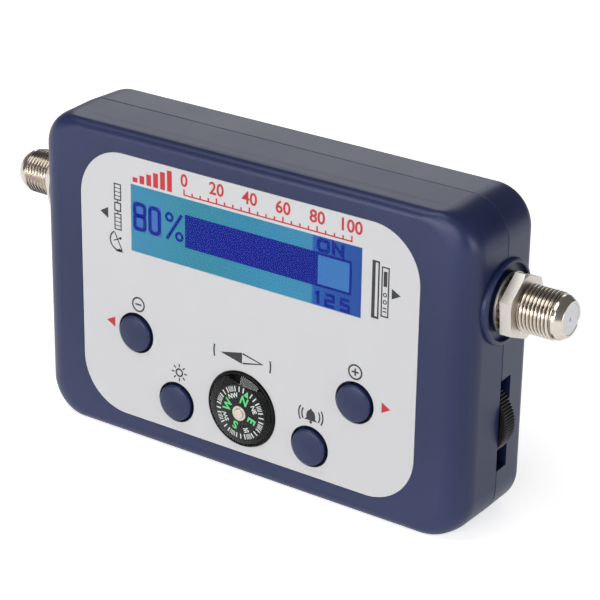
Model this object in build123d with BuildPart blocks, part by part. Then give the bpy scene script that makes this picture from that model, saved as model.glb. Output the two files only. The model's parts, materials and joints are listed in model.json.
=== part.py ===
from build123d import *
from math import cos, pi, radians, sin, sqrt, tan
import os

# Satellite signal meter, in millimetres. It stands on the long lower side of its case.
# +X points to the right connector, -Y out of the face with the display, +Z up.
# The origin is the centre of the base. A depth is measured from the front face to the rear.

# Case
case_width = 105.0
case_height = 68.4
parting_depth = 12.5
rear_depth = 10.9
draft_degrees = 2.0
case_corner_radius = 8.3
front_corner_radius = 7.0
front_side_round = 5.0
front_edge_round = 2.0
back_edge_round = 2.7
wall = 2.0
cavity_corner_radius = 6.0
front_cavity_round = 3.0
rear_cavity_round = 2.0
seam_chamfer = 0.2
tongue_thickness = 0.9
tongue_length = 1.2
tongue_gap = 0.1
post_radius = 3.2
post_side_inset = 7.5
post_end_inset = 8.0
overrun = 1.0
round_steps = 14

# Case screws
screw_radius = 1.2
screw_pilot_gap = 0.05
screw_shank_gap = 0.35
screw_length = 11.0
screw_head_radius = 2.5
screw_head_height = 1.8
screw_head_gap = 0.4
screw_recess = 5.8
screw_cross_width = 0.6
screw_cross_length = 2.8
screw_cross_depth = 0.9

# Face label
label_side_gap = 11.45
label_top_gap = 5.25
label_bottom = 4.95
label_corner_radius = 11.0
label_thickness = 0.25
label_recess = 0.3
label_edge_gap = 0.12

# Display
window_side_gap = 13.05
window_top_gap = 11.2
window_bottom = 42.6
cell_margin = 2.5
cell_thickness = 1.9
cell_opening_gap = 0.4
cell_label_gap = 0.05
light_side_margin = 2.5
light_end_margin = 2.2
light_thickness = 3.6
frame_gap = 0.15
frame_wall = 1.6
frame_wall_gap = 0.2
frame_leg = 3.0
display_pin_count = 12
display_pin_pitch = 2.54
display_pin_radius = 0.3
display_pin_inset = 1.5

# Push buttons
outer_button_inset = 13.95
outer_button_height = 24.35
inner_button_side = 16.67
inner_button_height = 11.5
button_radius = 3.9
button_hole_gap = 0.6
button_rim_rise = 0.7
button_crown = 0.45
button_edge_round = 0.5
button_flange_width = 1.3
button_flange_thickness = 0.9
button_flange_gap = 0.05
button_stem_radius = 1.8
button_travel = 0.35
plunger_radius = 1.7
plunger_length = 3.0
plunger_stand = 1.5
plunger_gap = 0.08
switch_side = 6.0
switch_thickness = 3.5
switch_cover = 4.6
switch_cover_thickness = 0.3

# Compass
compass_radius = 8.2
compass_label_gap = 1.75
compass_hole_gap = 0.15
compass_rim_rise = 0.4
compass_rim_width = 0.6
compass_rim_round = 0.2
compass_floor_depth = 6.2
compass_floor_thickness = 1.0
compass_flange_width = 1.1
compass_flange_thickness = 0.8
compass_ledge_width = 0.4
compass_ledge_depth = 0.6
dome_fit = 0.05
dome_rise = 1.3
dome_thickness = 0.5
dome_edge_thickness = 0.1
dial_radius = 5.9
dial_depth = -0.05
dial_thickness = 0.4
float_radius = 2.4
float_length = 1.5
dial_bore_margin = 0.15
dial_play = 0.06
# The meter stands on edge, so the dial hangs on its pivot, below it and a little to the left
dial_hang = 0.75
dial_hang_side = 0.15
dial_cap_radius = 1.57
dial_cap_flange = 0.3
dial_cap_top_radius = 1.1
dial_cap_height = 0.8
dial_cap_round = 0.25
pivot_radius = 0.42
pivot_point_length = 0.6
pivot_tip_radius = 0.12
pivot_tip_gap = 0.15

# Connectors
connector_drop = 20.1
thread_radius = 4.76
thread_pitch = 0.794
thread_crest = 0.35
thread_root_radius = 4.3
thread_count = 9
barrel_radius = 4.4
collar_radius = 8.65
collar_rise = 0.8
collar_round = 0.6
moat_outer_radius = 7.75
moat_inner_radius = 6.0
moat_depth = 1.0
land_rise = 0.9
# The left connector stands a little deeper in its collar than the right one
left_set_back = 1.1
connector_hole_gap = 0.3
flange_radius = 6.5
flange_thickness = 1.5
rear_body_radius = 4.5
rear_body_length = 7.3
lug_length = 3.5
lug_width = 1.6
lug_thickness = 0.6
lug_offset = 3.2
washer_radius = 6.25
washer_thickness = 0.5
washer_gap = 0.12
lock_washer_radius = 5.4
lock_washer_thickness = 0.8
lock_tooth_count = 18
lock_tooth_length = 0.5
lock_tooth_width = 0.9
nut_flats = 12.1
nut_turn_degrees = 37.0
nut_thickness = 2.4
nut_chamfer = 0.6
nut_gap = 0.05
thread_runout = 0.15
nose_radius = 4.45
nose_length = 0.75
nose_cone_length = 1.4
nose_tip_radius = 3.6
nose_round = 0.1
insulator_radius = 3.15
insulator_recess = 0.1
insulator_gap = 0.03
insulator_inner_inset = 2.8
contact_radius = 0.8
contact_gap = 0.05
contact_bore_radius = 0.5
contact_bore_depth = 6.0
contact_front_inset = 1.0
insulator_mouth_radius = 0.4
insulator_funnel = 0.15
contact_pin_radius = 0.45
contact_pin_reach = 1.5

# Thumbwheel and potentiometer
wheel_radius = 8.0
wheel_rise = 1.7
wheel_thickness = 3.3
wheel_front_gap = 0.2
wheel_height = 21.65
wheel_tooth_count = 76
wheel_tooth_depth = 0.42
wheel_edge_chamfer = 0.15
wheel_web_recess = 0.7
wheel_rim_width = 1.6
wheel_hub_radius = 3.4
slot_height = 19.7
slot_width = 3.75
shaft_radius = 2.0
shaft_flat = 0.5
shaft_gap = 0.05
shaft_notch_gap = 0.3
pot_side = 7.4
pot_thickness = 3.0

# Main board and what it carries
board_set_back = 2.1
board_thickness = 1.6
board_edge_gap = 2.1
board_neck_gap = 0.7
board_shoulder_gap = 1.3
board_corner_gap = 0.6
board_screw_radius = 0.95
board_screw_head_radius = 1.9
board_screw_head_height = 1.2
board_screw_length = 6.0
board_boss_radius = 2.4
board_screw_hole_gap = 0.2
lower_boss_inset = 7.2
lower_boss_height = 9.0
upper_boss_inset = 3.0
upper_boss_gap = 5.4
can_side_gap = 5.0
can_height = 17.0
can_thickness = 0.4
can_back_gap = 2.0
can_corner_radius = 0.8
can_pin_gap = 1.1
chip_side = 10.0
chip_thickness = 1.6
chip_side_share = 0.124
chip_height_share = 0.65
chip_lead_count = 11
chip_lead_pitch = 0.8
chip_lead_width = 0.35
chip_lead_length = 0.9
chip_lead_thickness = 0.2
crystal_length = 11.0
crystal_width = 4.6
crystal_thickness = 3.6
crystal_side_share = -0.124
crystal_height_share = 0.293
regulator_width = 6.5
regulator_height = 6.1
regulator_thickness = 2.3
regulator_tab = 1.2
regulator_tab_thickness = 0.5
regulator_side_share = 0.455
regulator_height_share = 0.293
buzzer_radius = 6.0
buzzer_thickness = 5.5
buzzer_hole_radius = 1.0
buzzer_hole_depth = 1.5
buzzer_round = 0.5
buzzer_side_share = -0.455
buzzer_height_share = 0.622
capacitor_radius = 2.5
capacitor_back_gap = 2.9
capacitor_round = 0.4
capacitor_side_share = -0.785
capacitor_height_shares = (0.485, 0.704)
choke_radius = 3.0
choke_back_gap = 3.4
choke_groove = 0.6
choke_flange = 0.9
choke_side_share = 0.537
choke_height_share = 0.677

# Derived places
case_depth = parting_depth + rear_depth
half_depth = case_depth / 2
half_width = case_width / 2
cavity_half_width = half_width - wall
screw_seat_depth = case_depth - screw_recess
label_width = case_width - 2 * label_side_gap
label_height = case_height - label_bottom - label_top_gap
window_width = label_width - 2 * window_side_gap
window_height = case_height - window_top_gap - window_bottom
window_middle = window_bottom + window_height / 2
cell_width = window_width + 2 * cell_margin
cell_height = window_height + 2 * cell_margin
light_width = cell_width + 2 * light_side_margin
light_height = cell_height + 2 * light_end_margin
connector_height = case_height - connector_drop
compass_height = label_bottom + compass_radius + compass_label_gap
dial_side = -dial_hang_side
dial_height = compass_height - dial_hang
board_front_depth = parting_depth - board_set_back
board_back_depth = board_front_depth + board_thickness
rear_room = case_depth - wall - board_back_depth
connector_y = parting_depth - half_depth
land_faces = {-1: half_width + land_rise - left_set_back, 1: half_width + land_rise}
collar_face = half_width + collar_rise
neck_length = washer_thickness + lock_washer_thickness + nut_thickness + thread_runout
thread_length = thread_count * thread_pitch
thread_starts = {side: face + neck_length for side, face in land_faces.items()}
barrel_ends = {
    side: start + thread_length + nose_length + nose_cone_length
    for side, start in thread_starts.items()
}
rear_body_end = cavity_half_width - flange_thickness - rear_body_length
wheel_side = half_width + wheel_rise - wheel_radius
wheel_front_depth = parting_depth + wheel_front_gap
wheel_back_depth = wheel_front_depth + wheel_thickness
cell_front_depth = label_recess + cell_label_gap
light_front_depth = cell_front_depth + cell_thickness
frame_front_depth = wall + frame_wall_gap
frame_back_depth = light_front_depth + light_thickness
plunger_tip_depth = board_front_depth - switch_thickness - plunger_stand
outer_button_side = label_width / 2 - outer_button_inset
button_places = {
    "left_button": (-outer_button_side, outer_button_height),
    "light_button": (-inner_button_side, inner_button_height),
    "buzzer_button": (inner_button_side, inner_button_height),
    "right_button": (outer_button_side, outer_button_height),
}
post_places = [
    (side * (half_width - post_side_inset), height)
    for side in (-1, 1)
    for height in (post_end_inset, case_height - post_end_inset)
]
# The board is narrower at its lower corners, beside the screw posts, and between the connectors
board_half = cavity_half_width - board_edge_gap
board_low = wall + board_shoulder_gap
board_high = case_height - wall - board_shoulder_gap
shoulder = connector_height - rear_body_radius - board_shoulder_gap
neck_half = rear_body_end - board_neck_gap
corner_height = post_end_inset + post_radius + board_corner_gap
corner_side = half_width - post_side_inset - post_radius - board_corner_gap
lower_boss_side = corner_side - lower_boss_inset
# The upper bosses stand on the board's neck, over the connectors
upper_boss_side = neck_half - upper_boss_inset
upper_boss_height = connector_height + rear_body_radius + upper_boss_gap
board_screw_places = [
    (side * reach, height)
    for side in (-1, 1)
    for reach, height in ((lower_boss_side, lower_boss_height), (upper_boss_side, upper_boss_height))
]

# The parts behind the board stand between its low edge and the shield can
can_low = connector_height - can_height / 2


def on_board(side_share, height_share):
    """A place behind the board, as shares of its half width and of the height up to the can."""
    return (side_share * board_half, board_low + height_share * (can_low - board_low))


chip_place = on_board(chip_side_share, chip_height_share)
crystal_place = on_board(crystal_side_share, crystal_height_share)
regulator_place = on_board(regulator_side_share, regulator_height_share)
buzzer_place = on_board(buzzer_side_share, buzzer_height_share)
choke_place = on_board(choke_side_share, choke_height_share)
capacitor_places = [on_board(capacitor_side_share, share) for share in capacitor_height_shares]

os.makedirs("parts", exist_ok=True)


def finish(piece, name):
    """Labels a finished piece and writes it to its own file."""
    piece.part.label = name
    export_step(piece.part, f"parts/{name}.step")


def at_depth(depth):
    """The plane at this depth behind the front face. It faces forward, local y is up."""
    return Plane.XZ.offset(half_depth - depth)


def at_side(place):
    """The plane across the case at this place along X. It faces +X, local x is to the rear."""
    return Plane.YZ.offset(place)


def axis_back(side, height):
    """The line from front to rear through a place on the face."""
    return Axis((side, 0, height), (0, 1, 0))


def round_inset(distance, radius):
    """How far an edge of this radius steps in, at this distance from its end face."""
    if distance >= radius:
        return 0
    return radius - sqrt(radius**2 - (radius - distance) ** 2)


def case_section(depth, inset=0):
    """The case's outline at one depth. Base stays flat, the other sides have draft."""
    draft = abs(depth - parting_depth) * tan(radians(draft_degrees))
    back = round_inset(case_depth - depth, back_edge_round)
    side_step = draft + round_inset(depth, front_side_round) + back + inset
    edge_step = round_inset(depth, front_edge_round) + back + inset
    front_share = round_inset(depth, front_side_round) / front_side_round
    corner = case_corner_radius - draft - back - inset
    corner += (front_corner_radius - case_corner_radius + draft) * front_share
    low, high = edge_step, case_height - draft - edge_step
    with BuildSketch(at_depth(depth)) as outline:
        with Locations((0, (low + high) / 2)):
            RectangleRounded(2 * (half_width - side_step), high - low, corner)
    return outline.sketch


def round_depths(radius):
    """Depths that follow a quarter circle in even turns, from its flat end to its side."""
    turns = [pi / 2 * step / round_steps for step in range(round_steps + 1)]
    return [radius * (1 - cos(turn)) for turn in turns]


def cavity_section(depth):
    """The outline of the space inside the case."""
    with BuildSketch(at_depth(depth)) as outline:
        with Locations((0, case_height / 2)):
            RectangleRounded(2 * cavity_half_width, case_height - 2 * wall, cavity_corner_radius)
    return outline.sketch


def whole_section(depth):
    """An outline larger than the case and its collars."""
    with BuildSketch(at_depth(depth)) as outline:
        with Locations((0, case_height / 2)):
            Rectangle(2 * (collar_face + overrun), case_height + 2 * overrun)
    return outline.sketch


def tongue_section(depth, reach):
    """The cavity's outline grown by the tongue."""
    with BuildSketch(at_depth(depth)) as outline:
        with Locations((0, case_height / 2)):
            RectangleRounded(
                2 * (cavity_half_width + reach),
                case_height - 2 * (wall - reach),
                cavity_corner_radius + reach,
            )
    return outline.sketch


def collar_solid(side):
    """The raised collar round one connector and the land inside it, turned along X."""
    with BuildPart() as collar:
        with BuildSketch(at_side(side * cavity_half_width)):
            with Locations((connector_y, connector_height)):
                Circle(collar_radius)
        extrude(amount=side * (collar_face - cavity_half_width))
        outer_end = collar.faces().sort_by(Axis.X)[-1 if side > 0 else 0]
        fillet(outer_end.edges(), collar_round)
        with BuildSketch(at_side(side * cavity_half_width)):
            with Locations((connector_y, connector_height)):
                Circle(moat_inner_radius)
        extrude(amount=side * (land_faces[side] - cavity_half_width))
    return collar.part


def collar_hollow(side):
    """The moat, the step over the land and the hole of one collar."""
    with BuildPart() as hollow:
        with BuildSketch(at_side(side * (collar_face + overrun))):
            with Locations((connector_y, connector_height)):
                Circle(moat_outer_radius)
                Circle(moat_inner_radius, mode=Mode.SUBTRACT)
        extrude(amount=-side * (overrun + moat_depth))
        with BuildSketch(at_side(side * (collar_face + overrun))):
            with Locations((connector_y, connector_height)):
                Circle(moat_inner_radius)
        extrude(amount=-side * (overrun + collar_face - land_faces[side]))
        with BuildSketch(at_side(side * (collar_face + overrun))):
            with Locations((connector_y, connector_height)):
                Circle(barrel_radius + connector_hole_gap)
        extrude(amount=-side * (overrun + collar_face - cavity_half_width + overrun))
    return hollow.part


collars = [collar_solid(side) for side in (-1, 1)]
collar_hollows = [collar_hollow(side) for side in (-1, 1)]


# Front shell
with BuildPart() as front_shell:
    loft([case_section(depth) for depth in round_depths(front_side_round)])
    seam_front = parting_depth - seam_chamfer
    loft([case_section(front_side_round), case_section(seam_front)], ruled=True)
    loft([case_section(seam_front), case_section(parting_depth, seam_chamfer)], ruled=True)
    with BuildPart(mode=Mode.PRIVATE) as front_cavity:
        extrude(cavity_section(parting_depth + overrun), amount=parting_depth + overrun - wall)
        fillet(front_cavity.faces().sort_by(Axis.Y)[0].edges(), front_cavity_round)
    add(front_cavity.part, mode=Mode.SUBTRACT)
    # Posts for the case screws and bosses for the board screws
    with BuildSketch(at_depth(parting_depth)):
        with Locations(*post_places):
            Circle(post_radius)
    extrude(amount=parting_depth - wall + label_recess)
    with BuildSketch(at_depth(board_front_depth)):
        with Locations(*board_screw_places):
            Circle(board_boss_radius)
    extrude(amount=board_front_depth - wall + label_recess)
    # Collars, kept to this side of the parting line
    for collar in collars:
        add(collar)
    for hollow in collar_hollows:
        add(hollow, mode=Mode.SUBTRACT)
    behind = collar_radius + overrun
    extrude(whole_section(parting_depth + behind), amount=behind, mode=Mode.SUBTRACT)
    # Tongue that reaches into the rear shell, left out at the collars and the thumbwheel
    with BuildPart(mode=Mode.PRIVATE) as tongue:
        tongue_end = parting_depth + tongue_length
        extrude(tongue_section(tongue_end, tongue_thickness), amount=tongue_length + seam_chamfer)
        extrude(cavity_section(tongue_end), amount=tongue_length + seam_chamfer, mode=Mode.SUBTRACT)
        with BuildSketch(at_depth(tongue_end)):
            with Locations((half_width, wheel_height)):
                Rectangle(2 * wall + overrun, slot_height + 2 * overrun)
            with Locations((half_width, connector_height), (-half_width, connector_height)):
                Rectangle(2 * wall + overrun, 2 * (collar_radius + overrun))
        extrude(amount=tongue_length + seam_chamfer, mode=Mode.SUBTRACT)
    add(tongue.part)
    # Screw holes
    with BuildSketch(at_depth(parting_depth)):
        with Locations(*post_places):
            Circle(screw_radius + screw_pilot_gap)
    extrude(amount=screw_length - screw_seat_depth + parting_depth + overrun, mode=Mode.SUBTRACT)
    with BuildSketch(at_depth(board_front_depth)):
        with Locations(*board_screw_places):
            Circle(board_screw_radius + screw_pilot_gap)
    extrude(amount=board_screw_length, mode=Mode.SUBTRACT)
    # Label recess, display opening and round holes in the face
    with BuildSketch(at_depth(label_recess)):
        with Locations((0, label_bottom + label_height / 2)):
            RectangleRounded(
                label_width + 2 * label_edge_gap,
                label_height + 2 * label_edge_gap,
                label_corner_radius + label_edge_gap,
            )
    extrude(amount=label_recess + overrun, mode=Mode.SUBTRACT)
    with BuildSketch(at_depth(wall + overrun)):
        with Locations((0, window_middle)):
            Rectangle(cell_width + 2 * cell_opening_gap, cell_height + 2 * cell_opening_gap)
        with Locations(*button_places.values()):
            Circle(button_radius + button_hole_gap)
        with Locations((0, compass_height)):
            Circle(compass_radius + compass_hole_gap)
    extrude(amount=wall + 2 * overrun, mode=Mode.SUBTRACT)
finish(front_shell, "front_shell")


# Rear shell
with BuildPart() as rear_shell:
    back_depths = [case_depth - depth for depth in reversed(round_depths(back_edge_round))]
    seam_back = parting_depth + seam_chamfer
    loft([case_section(parting_depth, seam_chamfer), case_section(seam_back)], ruled=True)
    loft([case_section(seam_back), case_section(back_depths[0])], ruled=True)
    loft([case_section(depth) for depth in back_depths])
    with BuildPart(mode=Mode.PRIVATE) as rear_cavity:
        extrude(cavity_section(case_depth - wall), amount=case_depth - wall - parting_depth + overrun)
        fillet(rear_cavity.faces().sort_by(Axis.Y)[-1].edges(), rear_cavity_round)
        extrude(
            tongue_section(parting_depth + tongue_length + tongue_gap, tongue_thickness + tongue_gap),
            amount=tongue_length + tongue_gap + overrun,
        )
    add(rear_cavity.part, mode=Mode.SUBTRACT)
    with BuildSketch(at_depth(case_depth - wall / 2)):
        with Locations(*post_places):
            Circle(post_radius)
    extrude(amount=case_depth - wall / 2 - parting_depth)
    for collar in collars:
        add(collar)
    for hollow in collar_hollows:
        add(hollow, mode=Mode.SUBTRACT)
    extrude(whole_section(parting_depth), amount=collar_radius + overrun, mode=Mode.SUBTRACT)
    # Slot for the thumbwheel, open to the parting line
    with BuildSketch(at_depth(parting_depth + slot_width)):
        with Locations((half_width, wheel_height)):
            Rectangle(2 * (wall + overrun), slot_height)
    extrude(amount=slot_width + overrun, mode=Mode.SUBTRACT)
    # Screw holes with room for the heads
    with BuildSketch(at_depth(case_depth + overrun)):
        with Locations(*post_places):
            Circle(screw_radius + screw_shank_gap)
    extrude(amount=case_depth - parting_depth + 2 * overrun, mode=Mode.SUBTRACT)
    with BuildSketch(at_depth(case_depth + overrun)):
        with Locations(*post_places):
            Circle(screw_head_radius + screw_head_gap)
    extrude(amount=case_depth - screw_seat_depth + overrun, mode=Mode.SUBTRACT)
finish(rear_shell, "rear_shell")


# Case screws, driven from the back
with BuildPart() as case_screws:
    with BuildSketch(at_depth(screw_seat_depth)):
        with Locations(*post_places):
            Circle(screw_radius)
    extrude(amount=screw_length)
    with BuildSketch(at_depth(screw_seat_depth + screw_head_height)):
        with Locations(*post_places):
            Circle(screw_head_radius)
    extrude(amount=screw_head_height)
    head_rims = case_screws.faces().group_by(Axis.Y)[-1].edges()
    fillet(head_rims, screw_head_height / 3)
    with BuildSketch(at_depth(screw_seat_depth + screw_head_height)):
        with Locations(*post_places):
            Rectangle(screw_cross_length, screw_cross_width)
            Rectangle(screw_cross_width, screw_cross_length)
    extrude(amount=screw_cross_depth, mode=Mode.SUBTRACT)
finish(case_screws, "case_screws")


# Face label with its clear window
with BuildPart() as face_label:
    with BuildSketch(at_depth(label_recess)):
        with Locations((0, label_bottom + label_height / 2)):
            RectangleRounded(label_width, label_height, label_corner_radius)
        with Locations((0, window_middle)):
            Rectangle(window_width, window_height, mode=Mode.SUBTRACT)
        with Locations(*button_places.values()):
            Circle(button_radius + button_hole_gap, mode=Mode.SUBTRACT)
        with Locations((0, compass_height)):
            Circle(compass_radius + compass_hole_gap, mode=Mode.SUBTRACT)
    extrude(amount=label_thickness)
finish(face_label, "face_label")

with BuildPart() as display_window:
    with BuildSketch(at_depth(label_recess)):
        with Locations((0, window_middle)):
            Rectangle(window_width, window_height)
    extrude(amount=label_thickness)
finish(display_window, "display_window")


# Display cell, light block, frame and pins
with BuildPart() as display_cell:
    with BuildSketch(at_depth(light_front_depth)):
        with Locations((0, window_middle)):
            Rectangle(cell_width, cell_height)
    extrude(amount=cell_thickness)
finish(display_cell, "display_cell")

with BuildPart() as display_light:
    with BuildSketch(at_depth(frame_back_depth)):
        with Locations((0, window_middle)):
            Rectangle(light_width, light_height)
    extrude(amount=light_thickness)
finish(display_light, "display_light")

with BuildPart() as display_frame:
    inner_width = light_width + 2 * frame_gap
    inner_height = light_height + 2 * frame_gap
    outer_width = inner_width + 2 * frame_wall
    outer_height = inner_height + 2 * frame_wall
    with BuildSketch(at_depth(frame_back_depth)):
        with Locations((0, window_middle)):
            Rectangle(outer_width, outer_height)
            Rectangle(inner_width, inner_height, mode=Mode.SUBTRACT)
    extrude(amount=frame_back_depth - frame_front_depth)
    with BuildSketch(at_depth(board_front_depth)):
        with Locations((0, window_middle)):
            with GridLocations(outer_width - frame_leg, outer_height - frame_leg, 2, 2):
                Rectangle(frame_leg, frame_leg)
    extrude(amount=board_front_depth - frame_back_depth)
finish(display_frame, "display_frame")

with BuildPart() as display_pins:
    with BuildSketch(at_depth(board_front_depth)):
        with Locations((0, window_middle - light_height / 2 + display_pin_inset)):
            with GridLocations(display_pin_pitch, display_pin_pitch, display_pin_count, 1):
                Circle(display_pin_radius)
    extrude(amount=board_front_depth - frame_back_depth)
finish(display_pins, "display_pins")


# Main board: full width below the connectors, a neck between them
with BuildPart() as main_board:
    with BuildSketch(at_depth(board_back_depth)):
        with BuildLine():
            right = [
                (corner_side, board_low),
                (corner_side, corner_height),
                (board_half, corner_height),
                (board_half, shoulder),
                (neck_half, shoulder),
                (neck_half, board_high),
            ]
            left = [(-x, z) for x, z in reversed(right)]
            Polyline(*right, *left, close=True)
        make_face()
        with Locations(*board_screw_places):
            Circle(board_screw_radius + board_screw_hole_gap, mode=Mode.SUBTRACT)
        with Locations((board_half, wheel_height)):
            notch = shaft_radius + shaft_notch_gap
            Rectangle(2 * (board_half - wheel_side), 2 * notch, mode=Mode.SUBTRACT)
        with Locations((wheel_side, wheel_height)):
            Circle(notch, mode=Mode.SUBTRACT)
    extrude(amount=board_thickness)
finish(main_board, "main_board")

with BuildPart() as board_screws:
    with BuildSketch(at_depth(board_back_depth)):
        with Locations(*board_screw_places):
            Circle(board_screw_radius)
    extrude(amount=board_screw_length)
    with BuildSketch(at_depth(board_back_depth + board_screw_head_height)):
        with Locations(*board_screw_places):
            Circle(board_screw_head_radius)
    extrude(amount=board_screw_head_height)
finish(board_screws, "board_screws")


# Tactile switches under the buttons
with BuildPart() as switch_bodies:
    switch_front = board_front_depth - switch_thickness
    with BuildSketch(at_depth(board_front_depth)):
        with Locations(*button_places.values()):
            Rectangle(switch_side, switch_side)
    extrude(amount=switch_thickness - switch_cover_thickness)
    with BuildSketch(at_depth(board_front_depth)):
        with Locations(*button_places.values()):
            Rectangle(switch_cover, switch_side)
    extrude(amount=switch_thickness)
    with BuildSketch(at_depth(switch_front)):
        with Locations(*button_places.values()):
            Circle(plunger_radius + plunger_gap)
    well = plunger_length - plunger_stand + button_travel + plunger_gap
    extrude(amount=-well, mode=Mode.SUBTRACT)
finish(switch_bodies, "switch_bodies")


def button_cap(side, height):
    """A round cap turned about its own axis: crowned face, flange behind the wall, stem."""
    flange_front = wall + button_flange_gap
    flange_back = flange_front + button_flange_thickness
    flange_radius_out = button_radius + button_flange_width
    with BuildPart() as cap:
        with BuildSketch(Plane((side, 0, height), x_dir=(1, 0, 0), z_dir=(0, 0, 1))) as profile:
            with BuildLine():
                face_y = -half_depth - button_rim_rise
                crown = TangentArc(
                    (0, face_y - button_crown), (button_radius, face_y), tangent=(1, 0)
                )
                Polyline(
                    crown @ 1,
                    (button_radius, flange_front - half_depth),
                    (flange_radius_out, flange_front - half_depth),
                    (flange_radius_out, flange_back - half_depth),
                    (button_stem_radius, flange_back - half_depth),
                    (button_stem_radius, plunger_tip_depth - half_depth),
                    (0, plunger_tip_depth - half_depth),
                    crown @ 0,
                )
            make_face()
            rim = profile.vertices().filter_by(lambda v: abs(v.Y - face_y) < seam_chamfer / 2)
            fillet(rim.sort_by(Axis.X)[-1:], button_edge_round)
        revolve(axis=axis_back(side, height))
    return cap


def switch_plunger(side, height):
    """The moving pin of one switch."""
    with BuildPart() as plunger:
        with BuildSketch(at_depth(plunger_tip_depth + plunger_length)):
            with Locations((side, height)):
                Circle(plunger_radius)
        extrude(amount=plunger_length)
    return plunger


for name, place in button_places.items():
    finish(button_cap(*place), name)
    finish(switch_plunger(*place), name.replace("button", "plunger"))


# Compass
compass_plane = Plane((0, 0, compass_height), x_dir=(1, 0, 0), z_dir=(0, 0, 1))
compass_axis = axis_back(0, compass_height)
rim_y = -half_depth - compass_rim_rise
ledge_y = compass_ledge_depth - half_depth
floor_y = compass_floor_depth - half_depth
rim_inner = compass_radius - compass_rim_width
cup_inner = rim_inner - compass_ledge_width

with BuildPart() as compass_housing:
    with BuildSketch(compass_plane) as profile:
        with BuildLine():
            flange_y = wall + button_flange_gap - half_depth
            Polyline(
                (compass_radius, rim_y),
                (compass_radius, flange_y),
                (compass_radius + compass_flange_width, flange_y),
                (compass_radius + compass_flange_width, flange_y + compass_flange_thickness),
                (compass_radius, flange_y + compass_flange_thickness),
                (compass_radius, floor_y + compass_floor_thickness),
                (0, floor_y + compass_floor_thickness),
                (0, floor_y),
                (cup_inner, floor_y),
                (cup_inner, ledge_y),
                (rim_inner, ledge_y),
                (rim_inner, rim_y),
                close=True,
            )
        make_face()
        front_corners = profile.vertices().group_by(Axis.Y)[0]
        fillet(front_corners, compass_rim_round)
    revolve(axis=compass_axis)
finish(compass_housing, "compass_housing")

with BuildPart() as compass_dome:
    with BuildSketch(compass_plane):
        with BuildLine():
            dome_radius = rim_inner - dome_fit
            outer = TangentArc((0, rim_y - dome_rise), (dome_radius, rim_y), tangent=(1, 0))
            inner_top = rim_y + dome_thickness - dome_rise
            inner_edge = (cup_inner, rim_y + dome_edge_thickness)
            inner = TangentArc((0, inner_top), inner_edge, tangent=(1, 0))
            Polyline(outer @ 1, (dome_radius, ledge_y), (cup_inner, ledge_y), inner @ 1)
            Line(inner @ 0, outer @ 0)
        make_face()
    revolve(axis=compass_axis)
finish(compass_dome, "compass_dome")

with BuildPart() as compass_dial:
    with BuildSketch(at_depth(dial_depth + dial_thickness)):
        with Locations((dial_side, dial_height)):
            Circle(dial_radius)
    extrude(amount=dial_thickness)
    with BuildSketch(at_depth(dial_depth + dial_thickness + float_length)):
        with Locations((dial_side, dial_height)):
            Circle(float_radius)
    extrude(amount=float_length)
    with BuildSketch(at_depth(dial_depth + dial_thickness + float_length)):
        with Locations((dial_side, dial_height)):
            Circle(sqrt(dial_hang**2 + dial_hang_side**2) + pivot_radius + dial_play)
    extrude(amount=float_length + dial_thickness - dial_bore_margin, mode=Mode.SUBTRACT)
finish(compass_dial, "compass_dial")

with BuildPart() as compass_cap:
    with BuildSketch(at_depth(dial_depth)):
        with Locations((dial_side, dial_height)):
            Circle(dial_cap_radius)
    extrude(amount=dial_cap_flange)
    with BuildSketch(at_depth(dial_depth)):
        with Locations((dial_side, dial_height)):
            Circle(dial_cap_top_radius)
    extrude(amount=dial_cap_height)
    fillet(compass_cap.faces().sort_by(Axis.Y)[0].edges(), dial_cap_round)
finish(compass_cap, "compass_cap")

with BuildPart() as compass_pivot:
    tip_y = dial_depth + dial_bore_margin + pivot_tip_gap - half_depth
    with BuildSketch(compass_plane):
        with BuildLine():
            Polyline(
                (0, floor_y),
                (pivot_radius, floor_y),
                (pivot_radius, tip_y + pivot_point_length),
                (pivot_tip_radius, tip_y),
                (0, tip_y),
                close=True,
            )
        make_face()
    revolve(axis=compass_axis)
finish(compass_pivot, "compass_pivot")


def connector_plane(side):
    """Local x runs outward along one connector's axis, local y is up from the axis."""
    return Plane((0, connector_y, connector_height), x_dir=(side, 0, 0), z_dir=(0, -side, 0))


connector_axis = Axis((0, connector_y, connector_height), (1, 0, 0))


def ring(side, start, end, outer, inner):
    """A plain ring on one connector's axis."""
    with BuildPart() as piece:
        with BuildSketch(at_side(side * start)):
            with Locations((connector_y, connector_height)):
                Circle(outer)
                Circle(inner, mode=Mode.SUBTRACT)
        extrude(amount=side * (end - start))
    return piece


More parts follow.
